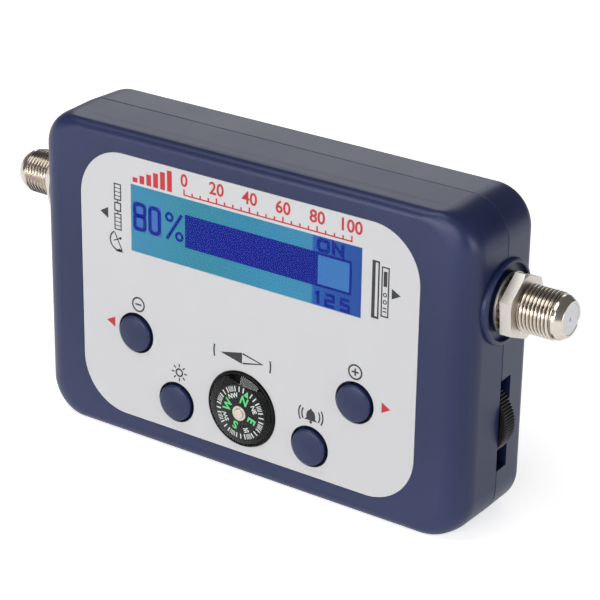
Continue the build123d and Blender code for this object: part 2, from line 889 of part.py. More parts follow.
def connector_barrel(side):
    """Rear body, flange, plain neck under the nut, thread and nose, turned in one."""
    flange_face = cavity_half_width
    flange_back = flange_face - flange_thickness
    groove = (thread_pitch - thread_crest) / 2
    thread_start = thread_starts[side]
    thread_end = thread_start + thread_length
    nose_end = thread_end + nose_length
    barrel_end = barrel_ends[side]
    thread = []
    for turn in range(thread_count):
        start = thread_start + turn * thread_pitch
        thread += [
            (start, thread_root_radius),
            (start + groove, thread_radius),
            (start + groove + thread_crest, thread_radius),
        ]
    with BuildPart() as barrel:
        with BuildSketch(connector_plane(side)) as profile:
            with BuildLine():
                Polyline(
                    (rear_body_end, insulator_radius),
                    (rear_body_end, rear_body_radius),
                    (flange_back, rear_body_radius),
                    (flange_back, flange_radius),
                    (flange_face, flange_radius),
                    (flange_face, barrel_radius),
                    (thread_start - thread_runout / 2, barrel_radius),
                    *thread,
                    (thread_end, thread_root_radius),
                    (thread_end + thread_runout / 2, nose_radius),
                    (nose_end, nose_radius),
                    (barrel_end, nose_tip_radius),
                    (barrel_end, insulator_radius),
                    close=True,
                )
            make_face()
            nose_corner = profile.vertices().group_by(Axis.X)[-1].sort_by(Axis.Z)[-1:]
            fillet(nose_corner, nose_round)
        revolve(axis=connector_axis)
        # Ground lugs on the board
        with BuildSketch(at_depth(board_back_depth + lug_thickness)):
            lug_middle = side * (rear_body_end - lug_length / 2 + lug_width / 2)
            with Locations(
                (lug_middle, connector_height - lug_offset),
                (lug_middle, connector_height + lug_offset),
            ):
                Rectangle(lug_length + lug_width, lug_width)
        extrude(amount=lug_thickness)
        with BuildSketch(at_side(side * rear_body_end)):
            with Locations((connector_y, connector_height)):
                Circle(insulator_radius)
        extrude(amount=side * (barrel_end - rear_body_end), mode=Mode.SUBTRACT)
    return barrel


def connector_insulator(side):
    """White plug of the barrel with a seat for the contact and a mouth for the cable's core."""
    outer = insulator_radius - insulator_gap
    inner = contact_radius + contact_gap
    back = rear_body_end + insulator_inner_inset
    front = barrel_ends[side] - insulator_recess
    seat = front - contact_front_inset
    with BuildPart() as plug:
        with BuildSketch(connector_plane(side)):
            with BuildLine():
                Polyline(
                    (back, inner),
                    (back, outer),
                    (front, outer),
                    (front, insulator_mouth_radius + insulator_funnel),
                    (front - insulator_funnel, insulator_mouth_radius),
                    (seat, insulator_mouth_radius),
                    (seat, inner),
                    close=True,
                )
            make_face()
        revolve(axis=connector_axis)
    return plug


def centre_contact(side):
    """Socket that grips the cable's core, with a thin pin over the board at its rear end."""
    front = barrel_ends[side] - insulator_recess - contact_front_inset
    back = rear_body_end
    pin_end = neck_half - can_side_gap - contact_pin_reach
    with BuildPart() as contact:
        with BuildSketch(connector_plane(side)):
            with BuildLine():
                Polyline(
                    (pin_end, 0),
                    (pin_end, contact_pin_radius),
                    (back, contact_pin_radius),
                    (back, contact_radius),
                    (front, contact_radius),
                    (front, contact_bore_radius),
                    (front - contact_bore_depth, contact_bore_radius),
                    (front - contact_bore_depth, 0),
                    close=True,
                )
            make_face()
        revolve(axis=connector_axis)
    return contact


def lock_washer(side):
    """Ring with a crown of short teeth round its edge."""
    start = land_faces[side] + washer_thickness
    with BuildPart() as washer:
        with BuildSketch(at_side(side * start)):
            with Locations((connector_y, connector_height)):
                Circle(lock_washer_radius)
                with PolarLocations(lock_washer_radius, lock_tooth_count):
                    Rectangle(2 * lock_tooth_length, lock_tooth_width)
                Circle(barrel_radius + washer_gap, mode=Mode.SUBTRACT)
        extrude(amount=side * lock_washer_thickness)
    return washer


def hex_nut(side):
    """Hexagon nut, its corners trimmed by a cone on the outer side."""
    start = land_faces[side] + washer_thickness + lock_washer_thickness
    corner = nut_flats / sqrt(3)
    with BuildPart() as nut:
        with BuildSketch(at_side(side * start)):
            with Locations((connector_y, connector_height)):
                RegularPolygon(corner, 6, rotation=nut_turn_degrees)
        extrude(amount=side * nut_thickness)
        with BuildSketch(connector_plane(side)):
            with BuildLine():
                Polyline(
                    (start, 0),
                    (start, corner),
                    (start + nut_thickness - nut_chamfer / 2, corner),
                    (start + nut_thickness, corner - nut_chamfer),
                    (start + nut_thickness, 0),
                    close=True,
                )
            make_face()
        revolve(axis=connector_axis, mode=Mode.INTERSECT)
        with BuildSketch(at_side(side * start)):
            with Locations((connector_y, connector_height)):
                Circle(barrel_radius + nut_gap)
        extrude(amount=side * nut_thickness, mode=Mode.SUBTRACT)
    return nut


for hand, side in (("left", -1), ("right", 1)):
    finish(connector_barrel(side), f"{hand}_connector_barrel")
    finish(connector_insulator(side), f"{hand}_connector_insulator")
    finish(centre_contact(side), f"{hand}_centre_contact")
    washer_start = land_faces[side]
    washer_end = washer_start + washer_thickness
    finish(
        ring(side, washer_start, washer_end, washer_radius, barrel_radius + washer_gap),
        f"{hand}_flat_washer",
    )
    finish(lock_washer(side), f"{hand}_lock_washer")
    finish(hex_nut(side), f"{hand}_hex_nut")


# Potentiometer body, in front of the board
with BuildPart() as pot_body:
    with BuildSketch(at_depth(board_front_depth)):
        with Locations((wheel_side, wheel_height)):
            RectangleRounded(pot_side, pot_side, seam_chamfer)
    extrude(amount=pot_thickness)
    with BuildSketch(at_depth(board_front_depth)):
        with Locations((wheel_side, wheel_height)):
            Circle(shaft_radius + shaft_gap)
    extrude(amount=pot_thickness, mode=Mode.SUBTRACT)
finish(pot_body, "pot_body")

# Its shaft, through the notch in the board
with BuildPart() as pot_shaft:
    with BuildSketch(at_depth(wheel_back_depth)):
        with Locations((wheel_side, wheel_height)):
            Circle(shaft_radius)
            with Locations((0, shaft_radius)):
                Rectangle(2 * shaft_radius, 2 * shaft_flat, mode=Mode.SUBTRACT)
    extrude(amount=wheel_thickness)
    with BuildSketch(at_depth(wheel_front_depth)):
        with Locations((wheel_side, wheel_height)):
            Circle(shaft_radius)
    extrude(amount=wheel_front_depth - board_front_depth + pot_thickness)
finish(pot_shaft, "pot_shaft")


def wheel_rim_point(step):
    """Points of the knurled edge, a crest and a root in turn."""
    reach = wheel_radius - wheel_tooth_depth * (step % 2)
    turn = pi * step / wheel_tooth_count
    return (reach * cos(turn), reach * sin(turn))


# Thumbwheel
with BuildPart() as thumbwheel:
    back_plane = at_depth(wheel_back_depth)
    back_plane.origin += Vector(wheel_side, 0, wheel_height)
    with BuildSketch(back_plane):
        with BuildLine():
            Polyline(*[wheel_rim_point(step) for step in range(2 * wheel_tooth_count)], close=True)
        make_face()
    extrude(amount=wheel_thickness)
    # Both faces are chamfered at the rim
    with BuildSketch(Plane((wheel_side, 0, wheel_height), x_dir=(1, 0, 0), z_dir=(0, 0, 1))):
        with BuildLine():
            front_y = wheel_front_depth - half_depth
            back_y = wheel_back_depth - half_depth
            flat_radius = wheel_radius - wheel_tooth_depth - wheel_edge_chamfer
            outside = wheel_radius + wheel_tooth_depth
            Polyline(
                (0, front_y),
                (flat_radius, front_y),
                (outside, front_y + wheel_edge_chamfer),
                (outside, back_y - wheel_edge_chamfer),
                (flat_radius, back_y),
                (0, back_y),
                close=True,
            )
        make_face()
    revolve(axis=axis_back(wheel_side, wheel_height), mode=Mode.INTERSECT)
    with BuildSketch(at_depth(wheel_front_depth + wheel_web_recess)):
        with Locations((wheel_side, wheel_height)):
            Circle(wheel_radius - wheel_rim_width)
            Circle(wheel_hub_radius, mode=Mode.SUBTRACT)
    extrude(amount=wheel_web_recess, mode=Mode.SUBTRACT)
    with BuildSketch(at_depth(wheel_back_depth)):
        with Locations((wheel_side, wheel_height)):
            Circle(shaft_radius)
            with Locations((0, shaft_radius)):
                Rectangle(2 * shaft_radius, 2 * shaft_flat, mode=Mode.SUBTRACT)
    extrude(amount=wheel_thickness, mode=Mode.SUBTRACT)
finish(thumbwheel, "thumbwheel")


# Shield can of the tuner, open towards the board
with BuildPart() as tuner_can:
    can_width = 2 * (neck_half - can_side_gap)
    can_depth = rear_room - can_back_gap
    with BuildSketch(at_depth(board_back_depth + can_depth)):
        with Locations((0, connector_height)):
            RectangleRounded(can_width, can_height, can_corner_radius)
    extrude(amount=can_depth)
    with BuildSketch(at_depth(board_back_depth + can_depth - can_thickness)):
        with Locations((0, connector_height)):
            RectangleRounded(
                can_width - 2 * can_thickness,
                can_height - 2 * can_thickness,
                can_corner_radius - can_thickness,
            )
    extrude(amount=can_depth, mode=Mode.SUBTRACT)
    with BuildSketch(at_side(-half_width)):
        with Locations((connector_y, connector_height)):
            Circle(can_pin_gap)
    extrude(amount=case_width, mode=Mode.SUBTRACT)
finish(tuner_can, "tuner_can")


# Microcontroller with leads on four sides
with BuildPart() as microcontroller:
    with BuildSketch(at_depth(board_back_depth + chip_thickness)):
        with Locations(chip_place):
            Rectangle(chip_side, chip_side)
    extrude(amount=chip_thickness)
    chamfer(microcontroller.faces().sort_by(Axis.Y)[-1].edges(), chip_lead_thickness)
    with BuildSketch(at_depth(board_back_depth + chip_lead_thickness)):
        lead_row = chip_side + chip_lead_length
        with Locations(chip_place):
            with GridLocations(chip_lead_pitch, lead_row, chip_lead_count, 2):
                Rectangle(chip_lead_width, chip_lead_length)
            with GridLocations(lead_row, chip_lead_pitch, 2, chip_lead_count):
                Rectangle(chip_lead_length, chip_lead_width)
    extrude(amount=chip_lead_thickness)
finish(microcontroller, "microcontroller")

with BuildPart() as crystal:
    with BuildSketch(at_depth(board_back_depth + crystal_thickness)):
        with Locations(crystal_place):
            SlotOverall(crystal_length, crystal_width)
    extrude(amount=crystal_thickness)
finish(crystal, "crystal")

with BuildPart() as voltage_regulator:
    with BuildSketch(at_depth(board_back_depth + regulator_thickness)):
        with Locations(regulator_place):
            Rectangle(regulator_width, regulator_height)
    extrude(amount=regulator_thickness)
    with BuildSketch(at_depth(board_back_depth + regulator_tab_thickness)):
        with Locations((regulator_place[0], regulator_place[1] + regulator_height / 2)):
            Rectangle(regulator_width, 2 * regulator_tab)
    extrude(amount=regulator_tab_thickness)
finish(voltage_regulator, "voltage_regulator")

with BuildPart() as buzzer:
    with BuildSketch(at_depth(board_back_depth + buzzer_thickness)):
        with Locations(buzzer_place):
            Circle(buzzer_radius)
    extrude(amount=buzzer_thickness)
    fillet(buzzer.faces().sort_by(Axis.Y)[-1].edges(), buzzer_round)
    with BuildSketch(at_depth(board_back_depth + buzzer_thickness)):
        with Locations(buzzer_place):
            Circle(buzzer_hole_radius)
    extrude(amount=buzzer_hole_depth, mode=Mode.SUBTRACT)
finish(buzzer, "buzzer")

with BuildPart() as capacitors:
    capacitor_length = rear_room - capacitor_back_gap
    with BuildSketch(at_depth(board_back_depth + capacitor_length)):
        with Locations(*capacitor_places):
            Circle(capacitor_radius)
    extrude(amount=capacitor_length)
    fillet(capacitors.faces().group_by(Axis.Y)[-1].edges(), capacitor_round)
finish(capacitors, "capacitors")

with BuildPart() as power_choke:
    choke_length = rear_room - choke_back_gap
    with BuildSketch(at_depth(board_back_depth + choke_length)):
        with Locations(choke_place):
            Circle(choke_radius)
    extrude(amount=choke_length)
    with BuildSketch(at_depth(board_back_depth + choke_length - choke_flange)):
        with Locations(choke_place):
            Circle(choke_radius + overrun)
            Circle(choke_radius - choke_groove, mode=Mode.SUBTRACT)
    extrude(amount=choke_length - 2 * choke_flange, mode=Mode.SUBTRACT)
finish(power_choke, "power_choke")
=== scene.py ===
# %% [markdown]
# # A satellite signal meter
# The meter is a navy plastic case that would fit in a coat pocket. It has a silver face label,
# a lit blue display, four push buttons, a small compass, and a threaded socket at each end.
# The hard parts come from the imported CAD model. This notebook gives them their finishes, cuts
# real screw threads on the sockets, turns the compass dome and the button caps with fine steps,
# and prints the marks on the face, the display and the dial.

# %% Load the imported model
import json
import bpy
import numpy as np
from mathutils import Matrix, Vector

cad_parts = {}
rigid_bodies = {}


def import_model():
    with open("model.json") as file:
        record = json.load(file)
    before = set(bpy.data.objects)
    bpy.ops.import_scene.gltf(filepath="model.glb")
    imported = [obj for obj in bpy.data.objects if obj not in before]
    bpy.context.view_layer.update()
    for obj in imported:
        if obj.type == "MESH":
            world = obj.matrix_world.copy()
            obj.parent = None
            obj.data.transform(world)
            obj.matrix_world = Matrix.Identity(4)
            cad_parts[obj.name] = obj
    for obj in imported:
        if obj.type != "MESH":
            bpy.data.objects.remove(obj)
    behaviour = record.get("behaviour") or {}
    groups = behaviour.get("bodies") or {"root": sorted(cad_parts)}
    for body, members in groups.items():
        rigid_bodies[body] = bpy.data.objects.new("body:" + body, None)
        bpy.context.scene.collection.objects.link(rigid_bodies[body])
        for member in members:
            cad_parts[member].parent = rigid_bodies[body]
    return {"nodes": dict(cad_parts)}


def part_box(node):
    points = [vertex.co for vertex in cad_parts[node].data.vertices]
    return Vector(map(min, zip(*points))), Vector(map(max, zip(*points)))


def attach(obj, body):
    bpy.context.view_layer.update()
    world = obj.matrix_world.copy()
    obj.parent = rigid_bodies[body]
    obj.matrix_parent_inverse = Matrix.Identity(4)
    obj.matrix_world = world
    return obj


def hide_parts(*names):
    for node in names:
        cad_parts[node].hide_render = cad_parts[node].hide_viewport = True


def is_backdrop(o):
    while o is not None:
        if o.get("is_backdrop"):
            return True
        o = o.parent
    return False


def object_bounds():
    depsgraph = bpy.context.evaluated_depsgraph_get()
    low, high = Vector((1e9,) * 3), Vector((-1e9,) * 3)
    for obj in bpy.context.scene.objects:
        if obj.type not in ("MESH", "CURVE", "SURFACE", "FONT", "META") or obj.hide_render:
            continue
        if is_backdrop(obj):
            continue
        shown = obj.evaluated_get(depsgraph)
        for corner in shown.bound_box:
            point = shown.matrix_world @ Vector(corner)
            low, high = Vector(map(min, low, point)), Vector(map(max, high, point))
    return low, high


for leftover in list(bpy.data.objects):
    bpy.data.objects.remove(leftover)
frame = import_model()
cad_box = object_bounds()
nodes = frame["nodes"]
MM = 0.001

# %% [markdown]
# ## The camera
# A camera can be aimed by eye or set from the vanishing lines of a photograph.
# Here it stands about half a metre from the case, to the right of it and above, with a long lens.
# Its turn is three angles: how far round the case it looks from, how far from above, and how far
# the picture is tilted.

# %% Camera
round_angle, above_angle, tilt_angle = np.radians([34.506, 23.967, 0.924])
stand = np.array([0.24868, -0.35324, 0.22697])
lens, sensor, near_limit = 139.96, 36.0, 0.01
level = np.array([np.cos(round_angle), np.sin(round_angle), 0.0])
sideways = np.array([level[1], -level[0], 0.0])
back = np.cos(above_angle) * sideways + np.sin(above_angle) * np.array([0.0, 0.0, 1.0])
right = np.cos(tilt_angle) * level + np.sin(tilt_angle) * np.cross(back, level)
camera_data = bpy.data.cameras.new("camera")
camera_data.lens = lens
camera_data.sensor_width = sensor
camera_data.clip_start = near_limit
camera = bpy.data.objects.new("camera", camera_data)
bpy.context.scene.collection.objects.link(camera)
turn = Matrix(np.stack([right, np.cross(back, right), back], 1).tolist()).to_4x4()
camera.matrix_world = Matrix.Translation(stand.tolist()) @ turn
bpy.context.scene.camera = camera
bpy.context.scene.view_settings.view_transform = "Standard"
print("camera looks along", (-back).round(3))

# %% [markdown]
# ## Nodes by name
# A material is a small graph. Building one takes many nodes and links, so a few short helpers
# keep the cells readable: one adds a node and fills its sockets, one starts a material, one mixes
# two colours. A socket takes either a plain number or the output of another node.

# %% Helpers for materials
def node(tree, kind, sockets=None, **settings):
    """Adds a node. A value in sockets is a number, a colour, or another node's output to link."""
    made = tree.nodes.new(kind)
    for key, value in settings.items():
        setattr(made, key, value)
    for key, value in (sockets or {}).items():
        if isinstance(value, bpy.types.NodeSocket):
            tree.links.new(value, made.inputs[key])
        else:
            made.inputs[key].default_value = value
    return made


def start_material(name):
    """An empty material with its output node and one Principled shader."""
    material = bpy.data.materials.new(name)
    material.use_nodes = True
    tree = material.node_tree
    tree.nodes.clear()
    output = node(tree, "ShaderNodeOutputMaterial")
    shader = node(tree, "ShaderNodeBsdfPrincipled")
    tree.links.new(shader.outputs[0], output.inputs[0])
    return material, tree, shader


def start_group(name, inputs, outputs):
    """An empty shader node group. inputs and outputs map a socket's name to its type and default."""
    tree = bpy.data.node_groups.new(name, "ShaderNodeTree")
    for in_out, sockets in (("INPUT", inputs), ("OUTPUT", outputs)):
        for key, (kind, value) in sockets.items():
            socket = tree.interface.new_socket(key, in_out=in_out, socket_type=f"NodeSocket{kind}")
            socket.default_value = value
    return tree, node(tree, "NodeGroupInput"), node(tree, "NodeGroupOutput")


def mix(tree, share, first, second):
    """The first colour at share 0 and the second at share 1. Each may be another node's output."""
    return node(tree, "ShaderNodeMix", {0: share, 6: first, 7: second}, data_type="RGBA").outputs[2]


def rgba(red, green, blue):
    """A colour as a person reads it in a paint program, 0 to 255, turned into linear light by the
    usual curve for screens: straight near black, and a power of 2.4 above."""
    share = np.array([red, green, blue]) / 255
    linear = np.where(share <= 0.04045, share / 12.92, ((share + 0.055) / 1.055) ** 2.4)
    return (*linear.tolist(), 1.0)


def dimmed(colour, share):
    """A linear colour brought down to a share of its light."""
    return tuple(share * part for part in colour[:3]) + (1.0,)


navy = rgba(28, 38, 75)
print("navy as linear light:", [round(value, 3) for value in navy])

# %% [markdown]
# ## Shared effects
# Moulded plastic is never one flat colour. Its tool leaves a fine grain, and hands leave faint dull
# patches. A paler edge is a painted sheen, where the light catches a case's edges and corners. Turned
# metal has fine lines round its axis.
# Each effect is a node group, built once and placed in many materials with its own numbers.
# A group gives out only colours, masks and heights, and the shader stays in the material.

# %% Moulded grain
# Brightness is 1 plus the spread times the sum of a fine and a broad noise, less that sum's middle.
fine_share = 0.35
grain_group, taken, given = start_group(
    "moulded_grain",
    {"Grains": ("Float", 3500.0), "Colour": ("Color", (0.5, 0.5, 0.5, 1)), "Spread": ("Float", 0.1)},
    {"Height": ("Float", 0.0), "Colour": ("Color", (0.5, 0.5, 0.5, 1)), "Patches": ("Float", 0.5)},
)
where = node(grain_group, "ShaderNodeTexCoord").outputs["Object"]
fine = node(
    grain_group, "ShaderNodeTexNoise",
    {"Vector": where, "Scale": taken.outputs["Grains"], "Detail": 3.0, "Roughness": 0.55},
)
broad = node(
    grain_group, "ShaderNodeTexNoise",
    {"Vector": where, "Scale": 55.0, "Detail": 4.0, "Roughness": 0.6},
)
blend = node(
    grain_group, "ShaderNodeMath",
    {0: fine.outputs[0], 1: fine_share, 2: broad.outputs[0]}, operation="MULTIPLY_ADD",
)
middle = node(
    grain_group, "ShaderNodeMath",
    {0: blend.outputs[0], 1: (1 + fine_share) / 2}, operation="SUBTRACT",
)
bright = node(
    grain_group, "ShaderNodeMath",
    {0: middle.outputs[0], 1: taken.outputs["Spread"], 2: 1.0}, operation="MULTIPLY_ADD",
)
shade = node(
    grain_group, "ShaderNodeVectorMath",
    {0: taken.outputs["Colour"], "Scale": bright.outputs[0]}, operation="SCALE",
)
grain_group.links.new(fine.outputs[0], given.inputs["Height"])
grain_group.links.new(shade.outputs[0], given.inputs["Colour"])
grain_group.links.new(broad.outputs[0], given.inputs["Patches"])
print("group", grain_group.name, "with", len(grain_group.nodes), "nodes")

# %% Turned lines
# A noise that changes fast along X and slowly round it reads as the lines left by a lathe.
turned_group, taken, given = start_group(
    "turned_lines",
    {"Along X": ("Float", 9000.0), "Around": ("Float", 60.0)},
    {"Height": ("Float", 0.0), "Patches": ("Float", 0.5)},
)
where = node(turned_group, "ShaderNodeTexCoord").outputs["Object"]
stretch = node(
    turned_group, "ShaderNodeCombineXYZ",
    {"X": taken.outputs["Along X"], "Y": taken.outputs["Around"], "Z": taken.outputs["Around"]},
)
stretched = node(
    turned_group, "ShaderNodeVectorMath", {0: where, 1: stretch.outputs[0]}, operation="MULTIPLY"
)
lines = node(
    turned_group, "ShaderNodeTexNoise",
    {"Vector": stretched.outputs[0], "Scale": 1.0, "Detail": 2.0},
)
stains = node(turned_group, "ShaderNodeTexNoise", {"Vector": where, "Scale": 420.0, "Detail": 3.0})
turned_group.links.new(lines.outputs[0], given.inputs["Height"])
turned_group.links.new(stains.outputs[0], given.inputs["Patches"])
print("group", turned_group.name, "with", len(turned_group.nodes), "nodes")

# %% Painted sheen on edges
# How far a point is towards the ends of a box, along each axis from 0 to 1. Where two axes are
# near 1 together the point is on an edge, and there the sum of their squares nears 2.
# The mask marks where a painted sheen goes, a little broken up by noise.
edge_sheen_group, taken, given = start_group(
    "painted_edge_sheen",
    {"Centre": ("Vector", (0, 0, 0)), "Half Size": ("Vector", (1, 1, 1)), "From": ("Float", 1.8)},
    {"Mask": ("Float", 0.0)},
)
where = node(edge_sheen_group, "ShaderNodeTexCoord").outputs["Object"]
offset = node(
    edge_sheen_group, "ShaderNodeVectorMath",
    {0: where, 1: taken.outputs["Centre"]}, operation="SUBTRACT",
)
share = node(
    edge_sheen_group, "ShaderNodeVectorMath",
    {0: offset.outputs[0], 1: taken.outputs["Half Size"]}, operation="DIVIDE",
)
squares = node(
    edge_sheen_group, "ShaderNodeVectorMath",
    {0: share.outputs[0], 1: share.outputs[0]}, operation="DOT_PRODUCT",
)
sheen_breakup = node(edge_sheen_group, "ShaderNodeTexNoise", {"Vector": where, "Scale": 260.0, "Detail": 5.0})
edge_reach = node(
    edge_sheen_group, "ShaderNodeMath",
    {0: sheen_breakup.outputs[0], 1: 0.5, 2: squares.outputs["Value"]}, operation="MULTIPLY_ADD",
)
mask = node(
    edge_sheen_group, "ShaderNodeMapRange",
    {"Value": edge_reach.outputs[0], "From Min": taken.outputs["From"], "From Max": 2.6},
)
edge_sheen_group.links.new(mask.outputs[0], given.inputs["Mask"])
print("group", edge_sheen_group.name, "with", len(edge_sheen_group.nodes), "nodes")

# %% [markdown]
# ## Plastics
# Most of the meter is moulded plastic, so one function makes them all. It takes a colour, a gloss
# and a grain, and joins the grain group to the shader's colour, roughness and bump.
# Different plastics then differ in their numbers, as they do in a moulder's catalogue.

# %% A moulded plastic
relief_depth = 0.01 * MM


def join_finish(tree, shader, colour, height, patches, roughness, patch, bump):
    """Joins a colour, a roughness that varies by patch about its middle, and relief whose depth is
    the bump's share of a hundredth of a mm."""
    gloss = node(
        tree, "ShaderNodeMapRange",
        {"Value": patches, "To Min": roughness - patch, "To Max": roughness + patch},
    )
    relief = node(
        tree, "ShaderNodeBump", {"Height": height, "Strength": bump, "Distance": relief_depth}
    )
    tree.links.new(colour, shader.inputs["Base Color"])
    tree.links.new(gloss.outputs[0], shader.inputs["Roughness"])
    tree.links.new(relief.outputs[0], shader.inputs["Normal"])


def moulding(name, colour, roughness, grains, spread=0.3, bump=0.12, patch=0.12):
    """Plastic with moulded grain. Gives the material, its shader and its grain node."""
    material, tree, shader = start_material(name)
    grain = node(tree, "ShaderNodeGroup", node_tree=grain_group)
    for key, value in (("Grains", grains), ("Colour", colour), ("Spread", spread)):
        grain.inputs[key].default_value = value
    out = grain.outputs
    join_finish(tree, shader, out["Colour"], out["Height"], out["Patches"], roughness, patch, bump)
    return material, shader, grain


def dress(material, *names):
    """Gives CAD nodes this material in place of their plain one."""
    for name in names:
        for slot in nodes[name].material_slots:
            slot.material = material


def pair(name):
    """The two nodes of this name, one at each end of the case."""
    return [f"left_{name}", f"right_{name}"]


print("plastic helpers ready")

# %% Navy case and buttons
# The case's edges and corners are mixed towards a paler navy: a painted sheen.
sheen_navy, cool_gloss, sheen_share = rgba(50, 60, 100), rgba(234, 236, 255), 0.3
shell, shell_shader, shell_grain = moulding(
    "navy_shell_plastic", navy, 0.36, 3200.0, spread=0.22, bump=0.5, patch=0.05
)
shell_shader.inputs["Specular Tint"].default_value = cool_gloss
shell_tree = shell.node_tree
case_half_width = 52.5 * MM
front_low, front_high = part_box("front_shell")
rear_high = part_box("rear_shell")[1]
case_middle_y, case_half_height = (front_low.y + rear_high.y) / 2, front_high.z / 2
edge_sheen = node(shell_tree, "ShaderNodeGroup", node_tree=edge_sheen_group)
edge_sheen.inputs["Centre"].default_value = (0.0, case_middle_y, case_half_height)
edge_sheen.inputs["Half Size"].default_value = (
    case_half_width, (rear_high.y - front_low.y) / 2, case_half_height
)
edge_sheen.inputs["From"].default_value = 1.95
amount = node(
    shell_tree, "ShaderNodeMath", {0: edge_sheen.outputs["Mask"], 1: sheen_share}, operation="MULTIPLY"
)
sheened_colour = mix(shell_tree, amount.outputs[0], shell_grain.outputs["Colour"], sheen_navy)
shell_tree.links.new(sheened_colour, shell_shader.inputs["Base Color"])
dress(shell, "front_shell", "rear_shell")
caps, caps_shader, _ = moulding("button_cap_plastic", navy, 0.3, 2400.0, spread=0.2, bump=0.2)
caps_shader.inputs["Specular Tint"].default_value = cool_gloss
button_names = ("left", "light", "buzzer", "right")
dress(caps, *(f"{name}_button" for name in button_names))
print("case and buttons dressed")

# %% [markdown]
# ## The inner parts
# Behind the face the meter holds a board with its parts. They show only when the case is opened,
# yet each gets a real finish. A table of colour, gloss and nodes is enough, and a short loop
# makes the materials. Green laminate, black epoxy and natural nylon are all moulded or coated,
# and so are the white plugs that show in the mouths of the sockets.

# %% Plastics and coatings inside
inner = {
    "black_frame_moulding": ((24, 24, 25), 0.5, ["display_frame", "switch_bodies"]),
    "plunger_moulding": ((30, 30, 32), 0.45, [f"{name}_plunger" for name in button_names]),
    "light_guide_acrylic": ((222, 234, 238), 0.2, ["display_light"]),
    "green_laminate": ((30, 92, 50), 0.4, ["main_board"]),
    "chip_epoxy": ((34, 34, 36), 0.55, ["microcontroller", "voltage_regulator"]),
    "buzzer_moulding": ((22, 22, 24), 0.42, ["buzzer"]),
    "capacitor_sleeve": ((48, 58, 120), 0.3, ["capacitors"]),
    "ferrite_and_winding": ((86, 56, 38), 0.5, ["power_choke"]),
    "potentiometer_moulding": ((48, 84, 160), 0.42, ["pot_body"]),
    "shaft_nylon": ((224, 220, 204), 0.45, ["pot_shaft"]),
    "socket_plug_white": ((246, 248, 252), 0.3, pair("connector_insulator")),
}
for name, (colour, roughness, members) in inner.items():
    material, _, _ = moulding(name, rgba(*colour), roughness, 2600.0, spread=0.25, bump=0.25)
    dress(material, *members)
print(len(inner), "plain finishes for", sum(len(row[2]) for row in inner.values()), "nodes")

# %% [markdown]
# ## The thumbwheel
# The wheel is black, and the tips of its teeth are painted pale: a painted highlight where the light
# catches them. Painting the tips by hand would be slow. A mask does it: the distance from the wheel's
# axis, which runs from front to rear, rises from the teeth's roots to their tips.

# %% Thumbwheel with painted highlights on its teeth
wheel_low, wheel_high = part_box("thumbwheel")
wheel_radius, tooth_depth = (wheel_high.z - wheel_low.z) / 2, 0.42 * MM
pale_from, pale_to = wheel_radius - 0.6 * tooth_depth, wheel_radius - 0.1 * tooth_depth
wheel, wheel_shader, wheel_grain = moulding("thumbwheel_moulding", rgba(20, 19, 20), 0.34, 2600.0)
wheel_tree = wheel.node_tree
where = node(wheel_tree, "ShaderNodeTexCoord").outputs["Object"]
wheel_middle = tuple((wheel_low + wheel_high) / 2)
from_axis = node(
    wheel_tree, "ShaderNodeVectorMath", {0: where, 1: wheel_middle}, operation="SUBTRACT"
)
flat = node(
    wheel_tree, "ShaderNodeVectorMath", {0: from_axis.outputs[0], 1: (1, 0, 1)}, operation="MULTIPLY"
)
distance = node(wheel_tree, "ShaderNodeVectorMath", {0: flat.outputs[0]}, operation="LENGTH")
tip_highlight = node(
    wheel_tree, "ShaderNodeMapRange",
    {"Value": distance.outputs["Value"], "From Min": pale_from, "From Max": pale_to},
)
# Painted highlight: the tips of the teeth are mixed towards pale grey.
highlighted_colour = mix(wheel_tree, tip_highlight.outputs[0], wheel_grain.outputs["Colour"], rgba(104, 103, 106))
wheel_tree.links.new(highlighted_colour, wheel_shader.inputs["Base Color"])
dress(wheel, "thumbwheel")
print("thumbwheel dressed, radius", round(wheel_radius / MM, 2), "mm")

# %% [markdown]
# ## Metals
# The sockets are turned brass under bright nickel, the nuts and washers are plated steel.
# A metal could be a mirror with a flat colour, but real plating has fine lines from the lathe and
# faint stains. The turned lines run round the socket's axis, which is the X axis of the model.

# %% Plated and drawn metals
# The second number is painted shade: the share of its colour that the metal keeps deep in a thread's
# roots.
stained_share, root_shade_share = 0.86, 0.12


def plated(name, colour, roughness, along, around, bump, patch=0.06, unshaded=None):
    """Metal whose relief is noise at one scale along X and another around it, and whose gloss varies.
    The last argument names a mesh attribute that is 0 where painted shade darkens the metal, as in a
    thread's roots, and 1 elsewhere."""
    material, tree, shader = start_material(name)
    lathe = node(tree, "ShaderNodeGroup", node_tree=turned_group)
    lathe.inputs["Along X"].default_value = along
    lathe.inputs["Around"].default_value = around
    height, patches = lathe.outputs["Height"], lathe.outputs["Patches"]
    base = mix(tree, patches, dimmed(colour, stained_share), colour)
    if unshaded:
        unshaded_share = node(tree, "ShaderNodeAttribute", attribute_name=unshaded)
        base = mix(tree, unshaded_share.outputs["Fac"], dimmed(colour, root_shade_share), base)
    join_finish(tree, shader, base, height, patches, roughness, patch, bump)
    shader.inputs["Metallic"].default_value = 1.0
    return material


